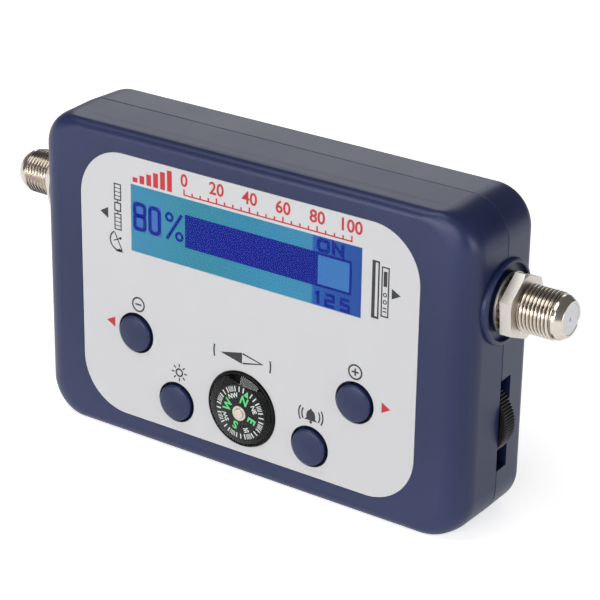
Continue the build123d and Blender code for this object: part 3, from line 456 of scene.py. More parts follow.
nickel = plated("turned_nickel_plate", rgba(226, 216, 204), 0.22, 9000.0, 60.0, 0.4, unshaded="unshaded")
flat_plate = plated("washer_plate", rgba(240, 234, 226), 0.42, 1500.0, 1500.0, 0.1, 0.04)
dress(flat_plate, *pair("flat_washer"))
metals = {
    "pressed_nickel_plate": ((226, 220, 212), 0.4, 1500.0, 1500.0, 0.25, pair("hex_nut")),
    # The lock washers are dark: painted shade, for the shade under the nuts.
    "spring_steel": ((112, 100, 92), 0.26, 1500.0, 1500.0, 0.25, pair("lock_washer")),
    "contact_bronze": ((214, 182, 120), 0.25, 6000.0, 80.0, 0.2, pair("centre_contact")),
    "dial_cap_nickel": ((226, 214, 204), 0.3, 1800.0, 1800.0, 0.3, ["compass_cap"]),
    "pivot_steel": ((190, 190, 190), 0.25, 5000.0, 5000.0, 0.2, ["compass_pivot"]),
    "zinc_screw_steel": ((196, 196, 190), 0.32, 2500.0, 2500.0, 0.3, ["case_screws", "board_screws"]),
    "tinned_can_steel": ((205, 205, 200), 0.28, 300.0, 2600.0, 0.3, ["tuner_can", "crystal"]),
    "tinned_pins": ((208, 204, 190), 0.3, 2000.0, 2000.0, 0.2, ["display_pins"]),
}
for name, (colour, roughness, along, around, bump, members) in metals.items():
    dress(plated(name, rgba(*colour), roughness, along, around, bump), *members)
print(len(metals) + 2, "metals ready")

# %% [markdown]
# ## Clear parts
# The display window is a clear film and the compass has a clear polished dome. Both are the
# Principled shader with full transmission. A render would leave whatever lies under them in
# shadow and speckled, because light cannot be aimed through glass, so rays that look for a lamp,
# and those that come back from what lies behind, pass straight through. The camera still sees the
# glass with its gloss.

# %% Clear film and dome
def clear(name, tint, roughness, bend, dust):
    """Clear plastic. Faint dust and rub marks raise the roughness in patches."""
    material, tree, shader = start_material(name)
    shader.inputs["Transmission Weight"].default_value = 1.0
    shader.inputs["IOR"].default_value = bend
    where = node(tree, "ShaderNodeTexCoord").outputs["Object"]
    specks = node(tree, "ShaderNodeTexNoise", {"Vector": where, "Scale": 900.0, "Detail": 4.0})
    gloss = node(
        tree, "ShaderNodeMapRange",
        {"Value": specks.outputs[0], "From Min": 0.45, "From Max": 0.75,
         "To Min": roughness, "To Max": roughness + dust},
    )
    dulled = mix(tree, specks.outputs[0], tint, dimmed(tint, 0.96))
    tree.links.new(dulled, shader.inputs["Base Color"])
    tree.links.new(gloss.outputs[0], shader.inputs["Roughness"])
    path = node(tree, "ShaderNodeLightPath")
    bounced = node(
        tree, "ShaderNodeMath",
        {0: path.outputs["Is Diffuse Ray"], 1: path.outputs["Is Glossy Ray"]}, operation="MAXIMUM",
    )
    straight = node(
        tree, "ShaderNodeMath",
        {0: path.outputs["Is Shadow Ray"], 1: bounced.outputs[0]}, operation="MAXIMUM",
    )
    pass_through = node(tree, "ShaderNodeBsdfTransparent", {"Color": tint})
    chosen = node(
        tree, "ShaderNodeMixShader",
        {0: straight.outputs[0], 1: shader.outputs[0], 2: pass_through.outputs[0]},
    )
    tree.links.new(chosen.outputs[0], tree.get_output_node("ALL").inputs[0])
    return material


dress(clear("clear_window_film", rgba(250, 252, 252), 0.02, 1.13, 0.01), "display_window")
acrylic = clear("clear_dome_acrylic", rgba(250, 251, 250), 0.01, 1.3, 0.005)
dress(acrylic, "compass_dome")
print("clear parts ready")

# %% [markdown]
# ## The face label and the compass ring
# The label is a silver polyester film: pale grey, with a satin surface that catches the light
# softly. The compass ring is polished black plastic, so it mirrors the studio, and its dial card
# is printed black.

# %% Label, ring and dial card
film, film_shader, _ = moulding(
    "silver_label_film", rgba(207, 207, 209), 0.42, 5200.0, spread=0.05, bump=0.15, patch=0.04
)
film_shader.inputs["Coat Weight"].default_value = 0.12
dress(film, "face_label")
ring, ring_shader, _ = moulding(
    "compass_ring_plastic", rgba(7, 7, 8), 0.15, 1500.0, bump=0.05, patch=0.04
)
ring_shader.inputs["Specular IOR Level"].default_value = 0.15
dress(ring, "compass_housing")
card, card_shader, _ = moulding("dial_card_print", rgba(8, 7, 10), 0.5, 4200.0, bump=0.08)
card_shader.inputs["Specular IOR Level"].default_value = 0.12
dress(card, "compass_dial")
print("label, ring and card ready")

# %% [markdown]
# ## The lit display
# The liquid crystal cell glows from behind. Its light block is brightest at the left, and the
# right end of the picture is a deeper blue. A picture could be painted on it, but a ramp of
# colours along the cell and a little unevenness are enough. The glow is the shader's emission,
# so the display reads in a dark room as well.

# %% Glowing cell
dark_ink, ink_step, uneven = (10, 14, 40), 8, 0.12


def glowing(name, ramp, glow):
    """A dark surface that glows. ramp lists a place in mm along X with its colour there."""
    material, tree, shader = start_material(name)
    where = node(tree, "ShaderNodeTexCoord").outputs["Object"]
    parts = node(tree, "ShaderNodeSeparateXYZ", {0: where})
    (ramp_from, first_colour), (ramp_to, last_colour) = ramp[0], ramp[-1]
    along = node(
        tree, "ShaderNodeMapRange",
        {"Value": parts.outputs["X"], "From Min": ramp_from * MM, "From Max": ramp_to * MM},
    )
    colours = node(tree, "ShaderNodeValToRGB", {0: along.outputs[0]})
    points = colours.color_ramp.elements
    points[0].color = rgba(*first_colour)
    points[1].color = rgba(*last_colour)
    for place, colour in ramp[1:-1]:
        points.new((place - ramp_from) / (ramp_to - ramp_from)).color = rgba(*colour)
    cloud = node(tree, "ShaderNodeTexNoise", {"Vector": where, "Scale": 75.0, "Detail": 1.0})
    strength = node(
        tree, "ShaderNodeMapRange",
        {"Value": cloud.outputs[0], "To Min": (1 - uneven) * glow, "To Max": (1 + uneven) * glow},
    )
    lit = node(
        tree, "ShaderNodeVectorMath",
        {0: colours.outputs[0], "Scale": strength.outputs[0]}, operation="SCALE",
    )
    tree.links.new(lit.outputs[0], shader.inputs["Emission Color"])
    shader.inputs["Specular IOR Level"].default_value = 0.08
    shader.inputs["Emission Strength"].default_value = 1.0
    rows = node(tree, "ShaderNodeTexNoise", {"Vector": where, "Scale": 2400.0}).outputs[0]
    paler_ink = (part + ink_step for part in dark_ink)
    tone = mix(tree, rows, rgba(*dark_ink), rgba(*paler_ink))
    gloss = node(tree, "ShaderNodeMapRange", {"Value": rows, "To Min": 0.3, "To Max": 0.42})
    tree.links.new(tone, shader.inputs["Base Color"])
    tree.links.new(gloss.outputs[0], shader.inputs["Roughness"])
    return material


edge = 28.0
cell_ramp = [
    (-edge, (72, 150, 186)), (-12.0, (62, 146, 166)), (4.0, (60, 147, 180)),
    (16.2, (70, 148, 186)), (16.7, (42, 97, 180)), (edge, (44, 84, 162)),
]
segment_ramp = [(-edge, (16, 44, 152)), (0.0, (16, 34, 152)), (edge, (16, 38, 150))]
pale_ramp = [(-edge, (76, 118, 192)), (0.0, (76, 118, 192)), (edge, (66, 132, 198))]
dress(glowing("display_cell_glow", cell_ramp, 0.9), "display_cell")
segments = glowing("display_segments", segment_ramp, 0.82)
pale_cells = glowing("display_pale_cells", pale_ramp, 0.9)
print("display materials ready")

# %% [markdown]
# ## Surfaces from numbers
# The pieces made here are tables of points worked out with numpy, then handed to Blender.
# A sheet of points is a grid with quads between its lines. A thin print is a flat shape
# given a front, a back and a rim. The volume inside its faces tells whether they point
# outwards, so each piece is turned right way out by that test.

# %% Helpers for meshes
sharp_from = np.radians(30.0)


def grid_quads(rows, columns):
    """Quads between the points of a grid whose last row and last column join the first ones."""
    i, j = (part.ravel() for part in np.meshgrid(np.arange(rows), np.arange(columns), indexing="ij"))
    k, l = (i + 1) % rows, (j + 1) % columns
    return np.stack([i * columns + j, i * columns + l, k * columns + l, k * columns + j], 1)


def volume(points, quads):
    """Volume inside closed faces: each face's fan of triangles, their corners' triple product
    over six."""
    first, rest = points[quads[:, 0]], points[quads]
    crosses = np.cross(rest[:, 1:-1], rest[:, 2:])
    return np.einsum("ij,ikj->", first, crosses) / 6


def make_piece(name, shapes, material, body):
    """Joins shapes, each (points in mm, list of face tables), into one mesh that rides on a body."""
    points, faces, start = [], [], 0
    for shape_points, tables in shapes:
        if sum(volume(shape_points, table) for table in tables) < 0:
            tables = [table[:, ::-1] for table in tables]
        points.append(shape_points * MM)
        faces += [face for table in tables for face in (table + start).tolist()]
        start += len(shape_points)
    mesh = bpy.data.meshes.new(name)
    mesh.from_pydata(np.concatenate(points).tolist(), [], faces)
    mesh.shade_smooth()
    mesh.set_sharp_from_angle(angle=sharp_from)
    mesh.materials.append(material)
    piece = bpy.data.objects.new(name, mesh)
    bpy.context.scene.collection.objects.link(piece)
    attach(piece, body)
    print(name, len(points), "shapes,", len(faces), "faces")
    return piece


def thicken(flat, table, front, rear):
    """A flat shape in x and z, given depth: front faces, rear faces turned round, and a rim on each
    edge that only one face uses."""
    count = len(flat)
    x, z = flat[table, 0], flat[table, 1]
    area = (x * np.roll(z, -1, 1) - np.roll(x, -1, 1) * z).sum()
    table = table if area > 0 else table[:, ::-1]
    a, b = table.ravel(), np.roll(table, -1, 1).ravel()
    alone = ~np.isin(a * count + b, b * count + a)
    a, b = a[alone], b[alone]
    rim = np.stack([b, a, a + count, b + count], 1)
    points = np.concatenate(
        [np.column_stack([flat[:, 0], np.full(count, y), flat[:, 1]]) for y in (front, rear)]
    )
    return points, [table, table[:, ::-1] + count, rim]


def corners(x0, x1, z0, z1):
    """The four corners of a rectangle, in order round it."""
    return np.array([(x0, z0), (x1, z0), (x1, z1), (x0, z1)], float)


print("mesh helpers ready")

# %% [markdown]
# ## Socket threads
# The real sockets carry a 3/8-32 screw thread. Rings would do from afar, but a thread is one
# helix: its crest moves along by one pitch for each turn. On a grid of places along the axis and
# angles round it, that is one height: the crest's profile at the place less the angle's share of
# a pitch. Both sockets are the same right-handed piece, one turned half round on the upright axis.

# %% Threaded barrels
pitch, crest, root, top, crests = 0.794, 0.12, 4.2, 4.76, 9
round_steps, pitch_steps, fade_share, unshaded_from_share = 120, 16, 0.35, 0.6
box_low, box_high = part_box("right_connector_barrel")
nose_end, nose_length, taper_length = box_high.x / MM, 2.15, 1.4
thread_to, taper_from = nose_end - nose_length, nose_end - taper_length
thread_from = thread_to - crests * pitch
nut_low, nut_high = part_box("right_hex_nut")
axis_y, axis_z = (nut_low.y + nut_high.y) / 2 / MM, (nut_low.z + nut_high.z) / 2 / MM
body_from, flange_from, wall_face = 41.7, 49.0, 50.5
bore, body_radius, flange_radius, neck_radius, nose_radius, tip_radius = 3.15, 4.5, 6.5, 4.4, 4.45, 3.6
chamfer = 0.1
set_backs = {1: 0.0, -1: nose_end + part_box("left_connector_barrel")[0].x / MM}
# The small rounds of the profile, as steps along the axis and away from it, from a place
mouth_round = [(0.0, 0.05), (-0.05, 0.0)]
taper_round = [(-0.12, 0.0), (0.0, -0.02), (0.12, -0.08)]
tip_round = [(-0.1, 0.06), (-0.03, 0.0), (0.0, -0.08)]


def rounded(along, radius, steps):
    """The places of a small round."""
    return [(along + step, radius + rise) for step, rise in steps]


def thread_radius(along, angle):
    """Radius of the thread: a flat crest with a slope on both sides, repeated each pitch along the
    helix, and faded to the root over about the first and the last third of a pitch."""
    phase = (along / pitch - angle / (2 * np.pi)) % 1.0
    slope = (1 - np.abs(2 * phase - 1)) / (1 - crest / pitch)
    rise = np.clip(slope, 0, 1)
    fade = np.clip(np.minimum(along, crests * pitch - along) / (fade_share * pitch), 0, 1)
    return root + (top - root) * rise * fade


def barrel_shape(side):
    """A profile turned about the socket's axis: rows are places on the profile, columns are angles.
    Only the thread's rows change their radius with the angle."""
    angle = np.linspace(0, 2 * np.pi, round_steps, endpoint=False)
    before = [
        (body_from, bore), (body_from, body_radius - chamfer), (body_from + chamfer, body_radius),
        (flange_from, body_radius), (flange_from, flange_radius - chamfer),
        (flange_from + chamfer, flange_radius), (wall_face - chamfer, flange_radius),
        (wall_face, flange_radius - chamfer), (wall_face, neck_radius),
        (thread_from - 0.12, neck_radius), (thread_from - 0.03, root),
    ]
    after = [
        (thread_to + chamfer, nose_radius - 0.04), (thread_to + 0.15, nose_radius),
        *rounded(taper_from, nose_radius, taper_round),
        *rounded(nose_end, tip_radius, tip_round),
        *rounded(nose_end, bore, mouth_round),
    ]
    rows = np.linspace(0, crests * pitch, crests * pitch_steps + 1)
    places = np.concatenate([[p[0] for p in before], thread_from + rows, [p[0] for p in after]])
    places = np.where(places > wall_face, places - set_backs[side], places)
    plain_before = np.tile([[p[1]] for p in before], (1, len(angle)))
    plain_after = np.tile([[p[1]] for p in after], (1, len(angle)))
    radius = np.concatenate([plain_before, thread_radius(rows[:, None], angle), plain_after])
    along = np.tile(places[:, None], (1, len(angle)))
    points = np.stack(
        [side * along, axis_y + side * radius * np.cos(angle), axis_z + radius * np.sin(angle)], -1
    )
    return points.reshape(-1, 3), [grid_quads(len(places), len(angle))]


def clean_places(points, side, count):
    """1 on the open metal, falling to 0 in the thread's roots, which take a painted shade. It follows
    the distance from the axis, along the thread alone."""
    along = side * points[:, 0] + np.where(side * points[:, 0] > wall_face, set_backs[side], 0)
    reach = np.hypot(points[:, 1] - axis_y, points[:, 2] - axis_z)
    on_thread = (along > thread_from) & (along < thread_to)
    share = np.where(on_thread, (reach - root) / (top - root) / unshaded_from_share, 1)
    return np.concatenate([np.clip(share, 0, 1), np.ones(count - len(points))])


def solder_lugs(side):
    """The two flat lugs that reach back from the socket's body to the board."""
    ends = sorted((side * lug_reach, side * (body_from + lug_sink)))
    middles = (axis_z - lug_offset, axis_z + lug_offset)
    face_table = np.array([[0, 1, 2, 3]])
    return [
        thicken(corners(*ends, middle - lug_half, middle + lug_half), face_table, lug_front, lug_rear)
        for middle in middles
    ]


lug_reach, lug_sink, lug_offset, lug_half = box_low.x / MM, 1.6, 3.2, 0.8
lug_front, lug_rear = 0.3, 0.9
for side, name in ((-1, "left"), (1, "right")):
    socket = barrel_shape(side)
    barrel = make_piece(f"{name}_threaded_barrel", [socket, *solder_lugs(side)], nickel, "case")
    # Painted shade in the thread's roots, as a mesh attribute.
    unshaded = barrel.data.attributes.new("unshaded", "FLOAT", "POINT")
    unshaded.data.foreach_set("value", clean_places(socket[0], side, len(barrel.data.vertices)))
    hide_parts(f"{name}_connector_barrel")

# %% [markdown]
# ## Domed pieces
# A polished dome shows every flat of a coarse mesh in its highlight. So the compass dome and the
# four button caps are turned again with fine steps about their own axes, which run from front to
# rear. A shallow dome is an arc of a large ball, set by its width and its rise.

# %% Turning about an axis from front to rear
def ball_radius(reach, rise):
    """Radius of the ball whose cap has this reach and rise: half of reach squared over rise, plus
    half the rise."""
    return (reach**2 / rise + rise) / 2


def ball_arc(reach, front, ball, steps):
    """Places (radius, depth) on the front of a ball, at even steps of the radius from the middle."""
    radius = np.linspace(0, 1, steps) * reach
    return np.column_stack([radius, front + ball - np.sqrt(ball**2 - radius**2)])


def turned(profile, x, z, segments):
    """A profile (radius, depth), both ends on the axis at x and z, turned with a single point at
    each pole."""
    angle = np.linspace(0, 2 * np.pi, segments, endpoint=False)
    rings = profile[1:-1]
    radius, depth = rings[:, :1], rings[:, 1:]
    points = np.stack(
        [x + radius * np.cos(angle), depth + 0 * angle, z + radius * np.sin(angle)], -1
    ).reshape(-1, 3)
    poles = np.array([[x, depth_at, z] for depth_at in (profile[0, 1], profile[-1, 1])])
    base = (len(rings) - 1) * segments
    quads = grid_quads(len(rings), segments)[:base]
    here = np.arange(segments)
    after = (here + 1) % segments
    first, last = len(points), len(points) + 1
    fans = np.concatenate([
        np.stack([np.full(segments, first), after, here], 1),
        np.stack([np.full(segments, last), base + here, base + after], 1),
    ])
    return np.concatenate([points, poles]), [quads, fans]


def round_box(name):
    """Middle x and z of a round node, its radius, and its front and rear depths, in mm."""
    low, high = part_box(name)
    middle_x, middle_z = (low.x + high.x) / 2 / MM, (low.z + high.z) / 2 / MM
    return middle_x, middle_z, (high.x - low.x) / 2 / MM, low.y / MM, high.y / MM


print("turning helpers ready")

# %% Polished dome
dome_steps, dome_segments = 48, 160
dome_x, dome_z, dome_radius, dome_front, dome_rear = round_box("compass_dome")
dome_rise, dome_wall, skirt, edge_step = 1.3, 0.5, 0.35, 0.1
inner_radius, inner_front = dome_radius - skirt, dome_front + dome_wall
outer_ball = ball_radius(dome_radius, dome_rise)
inner_ball = ball_radius(inner_radius, dome_rise - dome_wall + edge_step)
outer_cap = ball_arc(dome_radius, dome_front, outer_ball, dome_steps)
inner_cap = ball_arc(inner_radius, inner_front, inner_ball, dome_steps)
foot = np.array([(dome_radius, dome_rear), (inner_radius, dome_rear)])
dome_profile = np.concatenate([outer_cap, foot, inner_cap[::-1]])
dome_shape = turned(dome_profile, dome_x, dome_z, dome_segments)
dome = make_piece("polished_dome", [dome_shape], acrylic, "case")
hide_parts("compass_dome")

# %% Button caps
cap_radius, crown, cap_round, stem_radius = 3.9, 0.45, 0.5, 1.8
flange_front, flange_rear = 3.2, 4.1
face_steps, round_points, cap_segments = 40, 14, 120


def button_profile(flange_radius, front, rear):
    """Crowned face, an edge rounded by a small circle that touches the crown's ball from inside and
    the straight side, then side, flange and stem."""
    ball = ball_radius(cap_radius, crown)
    ball_depth = front + ball
    centre = cap_radius - cap_round
    centre_depth = ball_depth - np.sqrt((ball - cap_round) ** 2 - centre**2)
    start = np.arctan2(ball_depth - centre_depth, centre)
    turns = np.linspace(start, 0, round_points)
    edge_radius, edge_depth = cap_round * np.cos(turns), cap_round * np.sin(turns)
    rim = np.column_stack([centre + edge_radius, centre_depth - edge_depth])
    face_arc = ball_arc(rim[0, 0], front, ball, face_steps)[:-1]
    steps = np.array([
        (cap_radius, front + flange_front), (flange_radius, front + flange_front),
        (flange_radius, front + flange_rear), (stem_radius, front + flange_rear),
        (stem_radius, rear), (0, rear),
    ])
    return np.concatenate([face_arc, rim, steps])


for name in ("left_button", "light_button", "buzzer_button", "right_button"):
    button_x, button_z, flange_radius, front, rear = round_box(name)
    profile = button_profile(flange_radius, front, rear)
    cap_shape = turned(profile, button_x, button_z, cap_segments)
    cap = make_piece(f"{name}_cap", [cap_shape], caps, name)
    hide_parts(name)

# %% [markdown]
# ## Flat shapes for printing
# Marks on the label, the display and the dial are thin prints. A line is a strip whose two sides
# are the path moved half a width to the left and right, with mitred corners. A filled mark is one
# outline. Figures come from Blender's own font, made a mesh before they are placed.

# %% Strips and outlines
def strip(path, width, closed=False):
    """Both sides of a path. At a corner the offset runs along the mean of the two edges' normals,
    lengthened by one over the cosine of half the turn."""
    path = np.asarray(path, float)
    ahead = np.roll(path, -1, 0) - path
    if not closed:
        ahead[-1] = ahead[-2]
    behind = np.roll(ahead, 1, 0)
    if not closed:
        behind[0] = ahead[0]
    ahead /= np.linalg.norm(ahead, axis=1, keepdims=True)
    behind /= np.linalg.norm(behind, axis=1, keepdims=True)
    mean = ahead + behind
    mean /= np.linalg.norm(mean, axis=1, keepdims=True)
    reach = width / 2 / np.clip((mean * ahead).sum(1, keepdims=True), 0.4, 1)
    offset = np.column_stack([-mean[:, 1], mean[:, 0]]) * reach
    count = len(path)
    i = np.arange(count if closed else count - 1)
    j = (i + 1) % count
    return np.concatenate([path + offset, path - offset]), np.stack([i, j, j + count, i + count], 1)


def outline(points):
    """One filled face inside a closed line of points."""
    points = np.asarray(points, float)
    return points, np.arange(len(points))[None, :]


def rectangle(x0, x1, z0, z1):
    """A filled rectangle."""
    return outline(corners(x0, x1, z0, z1))


def drawn_box(x, half, z0, z1, width):
    """A rectangle about x, drawn as a line."""
    return strip(corners(x - half, x + half, z0, z1), width, closed=True)


def arc(x, z, radius, start, end, steps=24):
    """Points on a circle, from one angle to another in degrees, counted from +X towards +Z."""
    angle = np.radians(np.linspace(start, end, steps))
    return np.column_stack([x + radius * np.cos(angle), z + radius * np.sin(angle)])


def circle(x, z, radius, width, steps=28):
    """A round line."""
    return strip(arc(x, z, radius, 0, 360, steps + 1)[:-1], width, closed=True)


def disc(x, z, radius, steps=24):
    """A filled circle."""
    return outline(arc(x, z, radius, 0, 360, steps + 1)[:-1])


def placed(points, x, z):
    """The points of a small drawing, moved to its place."""
    return np.asarray(points, float) + (x, z)


print("strips and outlines ready")

# %% Figures and prints
def figures(text, x, z, height, turn=0.0, weight=0.0):
    """Figures in Blender's own font, centred on a place and turned clockwise, as flat triangles.
    weight moves the outlines out, as a share of the letters' size."""
    curve = bpy.data.curves.new("figures", "FONT")
    curve.body = text
    curve.resolution_u = 4
    curve.offset = weight
    holder = bpy.data.objects.new("figures", curve)
    mesh = bpy.data.meshes.new_from_object(holder)
    points = np.zeros(len(mesh.vertices) * 3)
    mesh.vertices.foreach_get("co", points)
    mesh.calc_loop_triangles()
    table = np.zeros(len(mesh.loop_triangles) * 3, int)
    mesh.loop_triangles.foreach_get("vertices", table)
    flat = points.reshape(-1, 3)[:, :2]
    low_corner, high_corner = flat.min(0), flat.max(0)
    flat = (flat - (low_corner + high_corner) / 2) * height / (high_corner[1] - low_corner[1])
    c, s = np.cos(np.radians(turn)), np.sin(np.radians(turn))
    flat = np.column_stack([flat[:, 0] * c + flat[:, 1] * s, flat[:, 1] * c - flat[:, 0] * s])
    bpy.data.objects.remove(holder)
    bpy.data.meshes.remove(mesh)
    return flat + (x, z), table.reshape(-1, 3)


def printed(name, flats, material, body, front, rear):
    """Thickens flat shapes to prints between two depths and joins them into one piece."""
    piece = make_piece(name, [thicken(*flat, front, rear) for flat in flats], material, body)


print("print helpers ready")

# %% [markdown]
# ## Inks
# Screen-printed ink lies on the film a little raised, matt, and not quite even. One function
# makes each ink from its colour, with the same grain as the film under it.

# %% Inks
def ink(name, colour):
    """Matt printed ink with a fine uneven surface."""
    return moulding(name, rgba(*colour), 0.5, 5200.0, spread=0.35, bump=0.2, patch=0.08)[0]


red_ink = ink("red_label_ink", (192, 40, 50))
black_ink = ink("black_label_ink", (38, 38, 42))
white_ink = ink("white_dial_ink", (244, 243, 244))
green_ink = ink("green_dial_ink", (92, 226, 136))
print("four inks")

# %% [markdown]
# ## The strength scale
# Over the display runs a red scale from 0 to 100. It stands over the display's bar, so the end of
# the bar can be read against it. To its left a row of rising columns says what it measures.

# %% Red scale over the display
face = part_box("face_label")[0].y / MM
ink_front, ink_rear = face - 0.025, face + 0.01
scale_from, scale_to = -14.4, 25.55
figure_z, figure_height, figure_weight = 61.0, 2.7, 0.02
scale_low, scale_high, tick_low, tick_half = 57.78, 58.07, 58.05, 0.17
long_tick, short_tick = 1.05, 0.65
column_from, column_step, column_width, lowest_top, column_rise = -27.4, 1.75, 1.2, 58.8, 0.68
red = []
for step in range(0, 101, 20):
    place = scale_from + (scale_to - scale_from) * step / 100
    red.append(figures(str(step), place, figure_z, figure_height, weight=figure_weight))
for step in range(0, 101, 5):
    place = scale_from + (scale_to - scale_from) * step / 100
    tick = long_tick if step % 20 == 0 else short_tick
    red.append(rectangle(place - tick_half, place + tick_half, tick_low, tick_low + tick))
red.append(rectangle(scale_from - tick_half, scale_to + tick_half, scale_low, scale_high))
for step in range(6):
    column, column_top = column_from + step * column_step, lowest_top + step * column_rise
    red.append(rectangle(column, column + column_width, scale_low, column_top))
printed("red_strength_scale", red, red_ink, "case", ink_front, ink_rear)

# %% [markdown]
# ## Arrows and pictograms
# Each control gets a small drawing in place of a caption: minus and plus signs over the outer
# buttons, a lamp, a bell and a compass needle. Along the left edge are a satellite and a dish,
# along the right edge a receiver box in a double frame. Arrowheads point to the sockets.

# %% Arrowheads
def arrowhead(tip_x, base_x, middle, half):
    """A triangle that points along X."""
    return outline([(tip_x, middle), (base_x, middle + half), (base_x, middle - half)])


red_arrows = [arrowhead(-34.8, -32.6, 25.4, 1.15), arrowhead(35.4, 33.4, 25.15, 1.15)]
printed("red_arrowheads", red_arrows, red_ink, "case", ink_front, ink_rear)
black_arrows = [arrowhead(-35.95, -33.92, 49.52, 1.2), arrowhead(36.85, 34.85, 49.5, 1.1)]
printed("black_arrowheads", black_arrows, black_ink, "case", ink_front, ink_rear)

# %% Signs over the buttons
line = 0.36
minus_x, plus_x, sign_z, sign_radius, bar_half = -26.4, 27.1, 30.95, 1.5, 0.8
signs = []
for sign_x in (minus_x, plus_x):
    signs.append(circle(sign_x, sign_z, sign_radius, line))
    signs.append(strip([(sign_x - bar_half, sign_z), (sign_x + bar_half, sign_z)], line))
for side in (-1, 1):
    signs.append(strip([(plus_x, sign_z + side * line / 2), (plus_x, sign_z + side * bar_half)], line))
lamp_x, lamp_z, lamp_radius, ray_from, ray_to, ray_line = -15.9, 18.45, 0.8, 1.25, 1.95, 0.3
signs.append(circle(lamp_x, lamp_z, lamp_radius, line))
for angle in range(0, 360, 45):
    ray = [arc(lamp_x, lamp_z, radius, angle, angle, 1) for radius in (ray_from, ray_to)]
    signs.append(strip(np.concatenate(ray), ray_line))
bell_x, bell_z, bell_size, clapper_drop, knob_rise = 16.9, 18.35, 1.25, 1.34, 1.4
half_bell = np.array([(1.25, -0.8), (0.85, -0.45), (0.85, 0.1)])
bell_top = arc(0, 0.25, 0.8, 15, 165, 12)
bell = np.concatenate([half_bell, bell_top, (half_bell * (-1, 1))[::-1]]) * bell_size
signs.append(outline(placed(bell, bell_x, bell_z)))
signs += [disc(bell_x, bell_z - clapper_drop, 0.32), disc(bell_x, bell_z + knob_rise, 0.24)]
wave_z, wave_half, wave_line = bell_z + 0.2, 32, 0.32
for middle in (0, 180):
    for radius in (2.15, 2.9):
        wave = arc(bell_x, wave_z, radius, middle - wave_half, middle + wave_half, 12)
        signs.append(strip(wave, wave_line))
needle_z, needle_half, needle_length = 26.2, 1.25, 5.4
filled_half = [(-needle_length, 0), (0, -needle_half), (0, needle_half)]
far_half = needle_half - line / 2
open_half = [(line / 2, far_half), (needle_length - 0.5, 0), (line / 2, -far_half)]
signs.append(outline(placed(filled_half, 0, needle_z)))
signs.append(strip(placed(open_half, 0, needle_z), line))
bracket_radius, bracket_half = 7.0, 11
for middle in (0, 180):
    bracket = arc(0, needle_z, bracket_radius, middle - bracket_half, middle + bracket_half, 10)
    signs.append(strip(bracket, line))
printed("button_signs", signs, black_ink, "case", ink_front, ink_rear)

# %% Satellite and dish
sat_x, body_half, panel_half, panel_height, strut_half = -31.4, 0.75, 0.8, 3.4, 0.12
drawn = [drawn_box(sat_x, body_half, 50.5, 52.2, 0.3)]
for low_z in (46.4, 52.9):
    drawn.append(drawn_box(sat_x, panel_half, low_z, low_z + panel_height, 0.26))
    for share in (0.25, 0.5, 0.75):
        bar_z = low_z + panel_height * share
        for bar_from, bar_to in ((-0.67, -0.05), (0.05, 0.67)):
            drawn.append(strip([(sat_x + bar_from, bar_z), (sat_x + bar_to, bar_z)], 0.18))
for low_z, high_z in ((49.93, 50.35), (52.35, 52.77)):
    drawn.append(rectangle(sat_x - strut_half, sat_x + strut_half, low_z, high_z))
dish_x, dish_z = -32.3, 43.6
bowl = arc(dish_x + 0.9, dish_z + 0.3, 2.1, 118, 300)
drawn += [strip(bowl, 0.32), strip([bowl[0] + (0.12, -0.2), bowl[-1] + (-0.2, 0.1)], 0.24)]
drawn.append(strip(placed([(-0.35, 0.1), (1.35, 0.9)], dish_x, dish_z), 0.22))
drawn.append(disc(dish_x + 1.45, dish_z + 0.95, 0.3))
drawn.append(outline(placed([(0.15, -2.1), (2.2, -2.1), (1.2, -1.35)], dish_x, dish_z)))
printed("satellite_and_dish", drawn, black_ink, "case", ink_front, ink_rear)

# %% Receiver box
here = np.arange(4)
after = (here + 1) % 4
double_frame = (
    np.concatenate([corners(30.34, 32.02, 43.5, 55.45), corners(31.08, 31.68, 43.95, 55.08)]),
    np.stack([here, after, after + 4, here + 4], 1),
)
rec_x, rec_half, slot_half = 33.35, 0.75, 0.4
rec = [double_frame, drawn_box(rec_x, rec_half, 44.4, 54.5, 0.28)]
rec.append(rectangle(rec_x - slot_half, rec_x + slot_half, 50.6, 53.7))
rec += [circle(rec_x, knob_z, 0.36, 0.2, 20) for knob_z in (48.9, 47.4)]
for low_z, high_z in ((45.3, 45.55), (46.0, 46.25)):
    rec.append(rectangle(rec_x - slot_half, rec_x + slot_half, low_z, high_z))
printed("receiver_box", rec, black_ink, "case", ink_front, ink_rear)

# %% [markdown]
# ## What the display shows
# The display reads 80 percent. A dark bar fills four fifths of its track and an open box
# marks the rest. The segments are a hair in front of the glowing cell, under the clear film.

# %% Display segments
cell_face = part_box("display_cell")[0].y / MM
stroke, slash_stroke, ring_stroke, box_stroke = 0.86, 0.72, 0.6, 0.55
small_stroke, one_stroke, figure_stroke = 0.78, 0.7, 0.66
digit_low, digit_middle, digit_high = 47.7, 50.55, 53.1
bar_from, bar_to, bar_low, bar_high = -14.4, 17.7, 46.6, 53.7


def octagon(x0, x1, z0, z1, cut):
    """A closed path: a rectangle whose corners are cut off."""
    return [
        (x0 + cut, z0), (x1 - cut, z0), (x1, z0 + cut), (x1, z1 - cut),
        (x1 - cut, z1), (x0 + cut, z1), (x0, z1 - cut), (x0, z0 + cut),
    ]


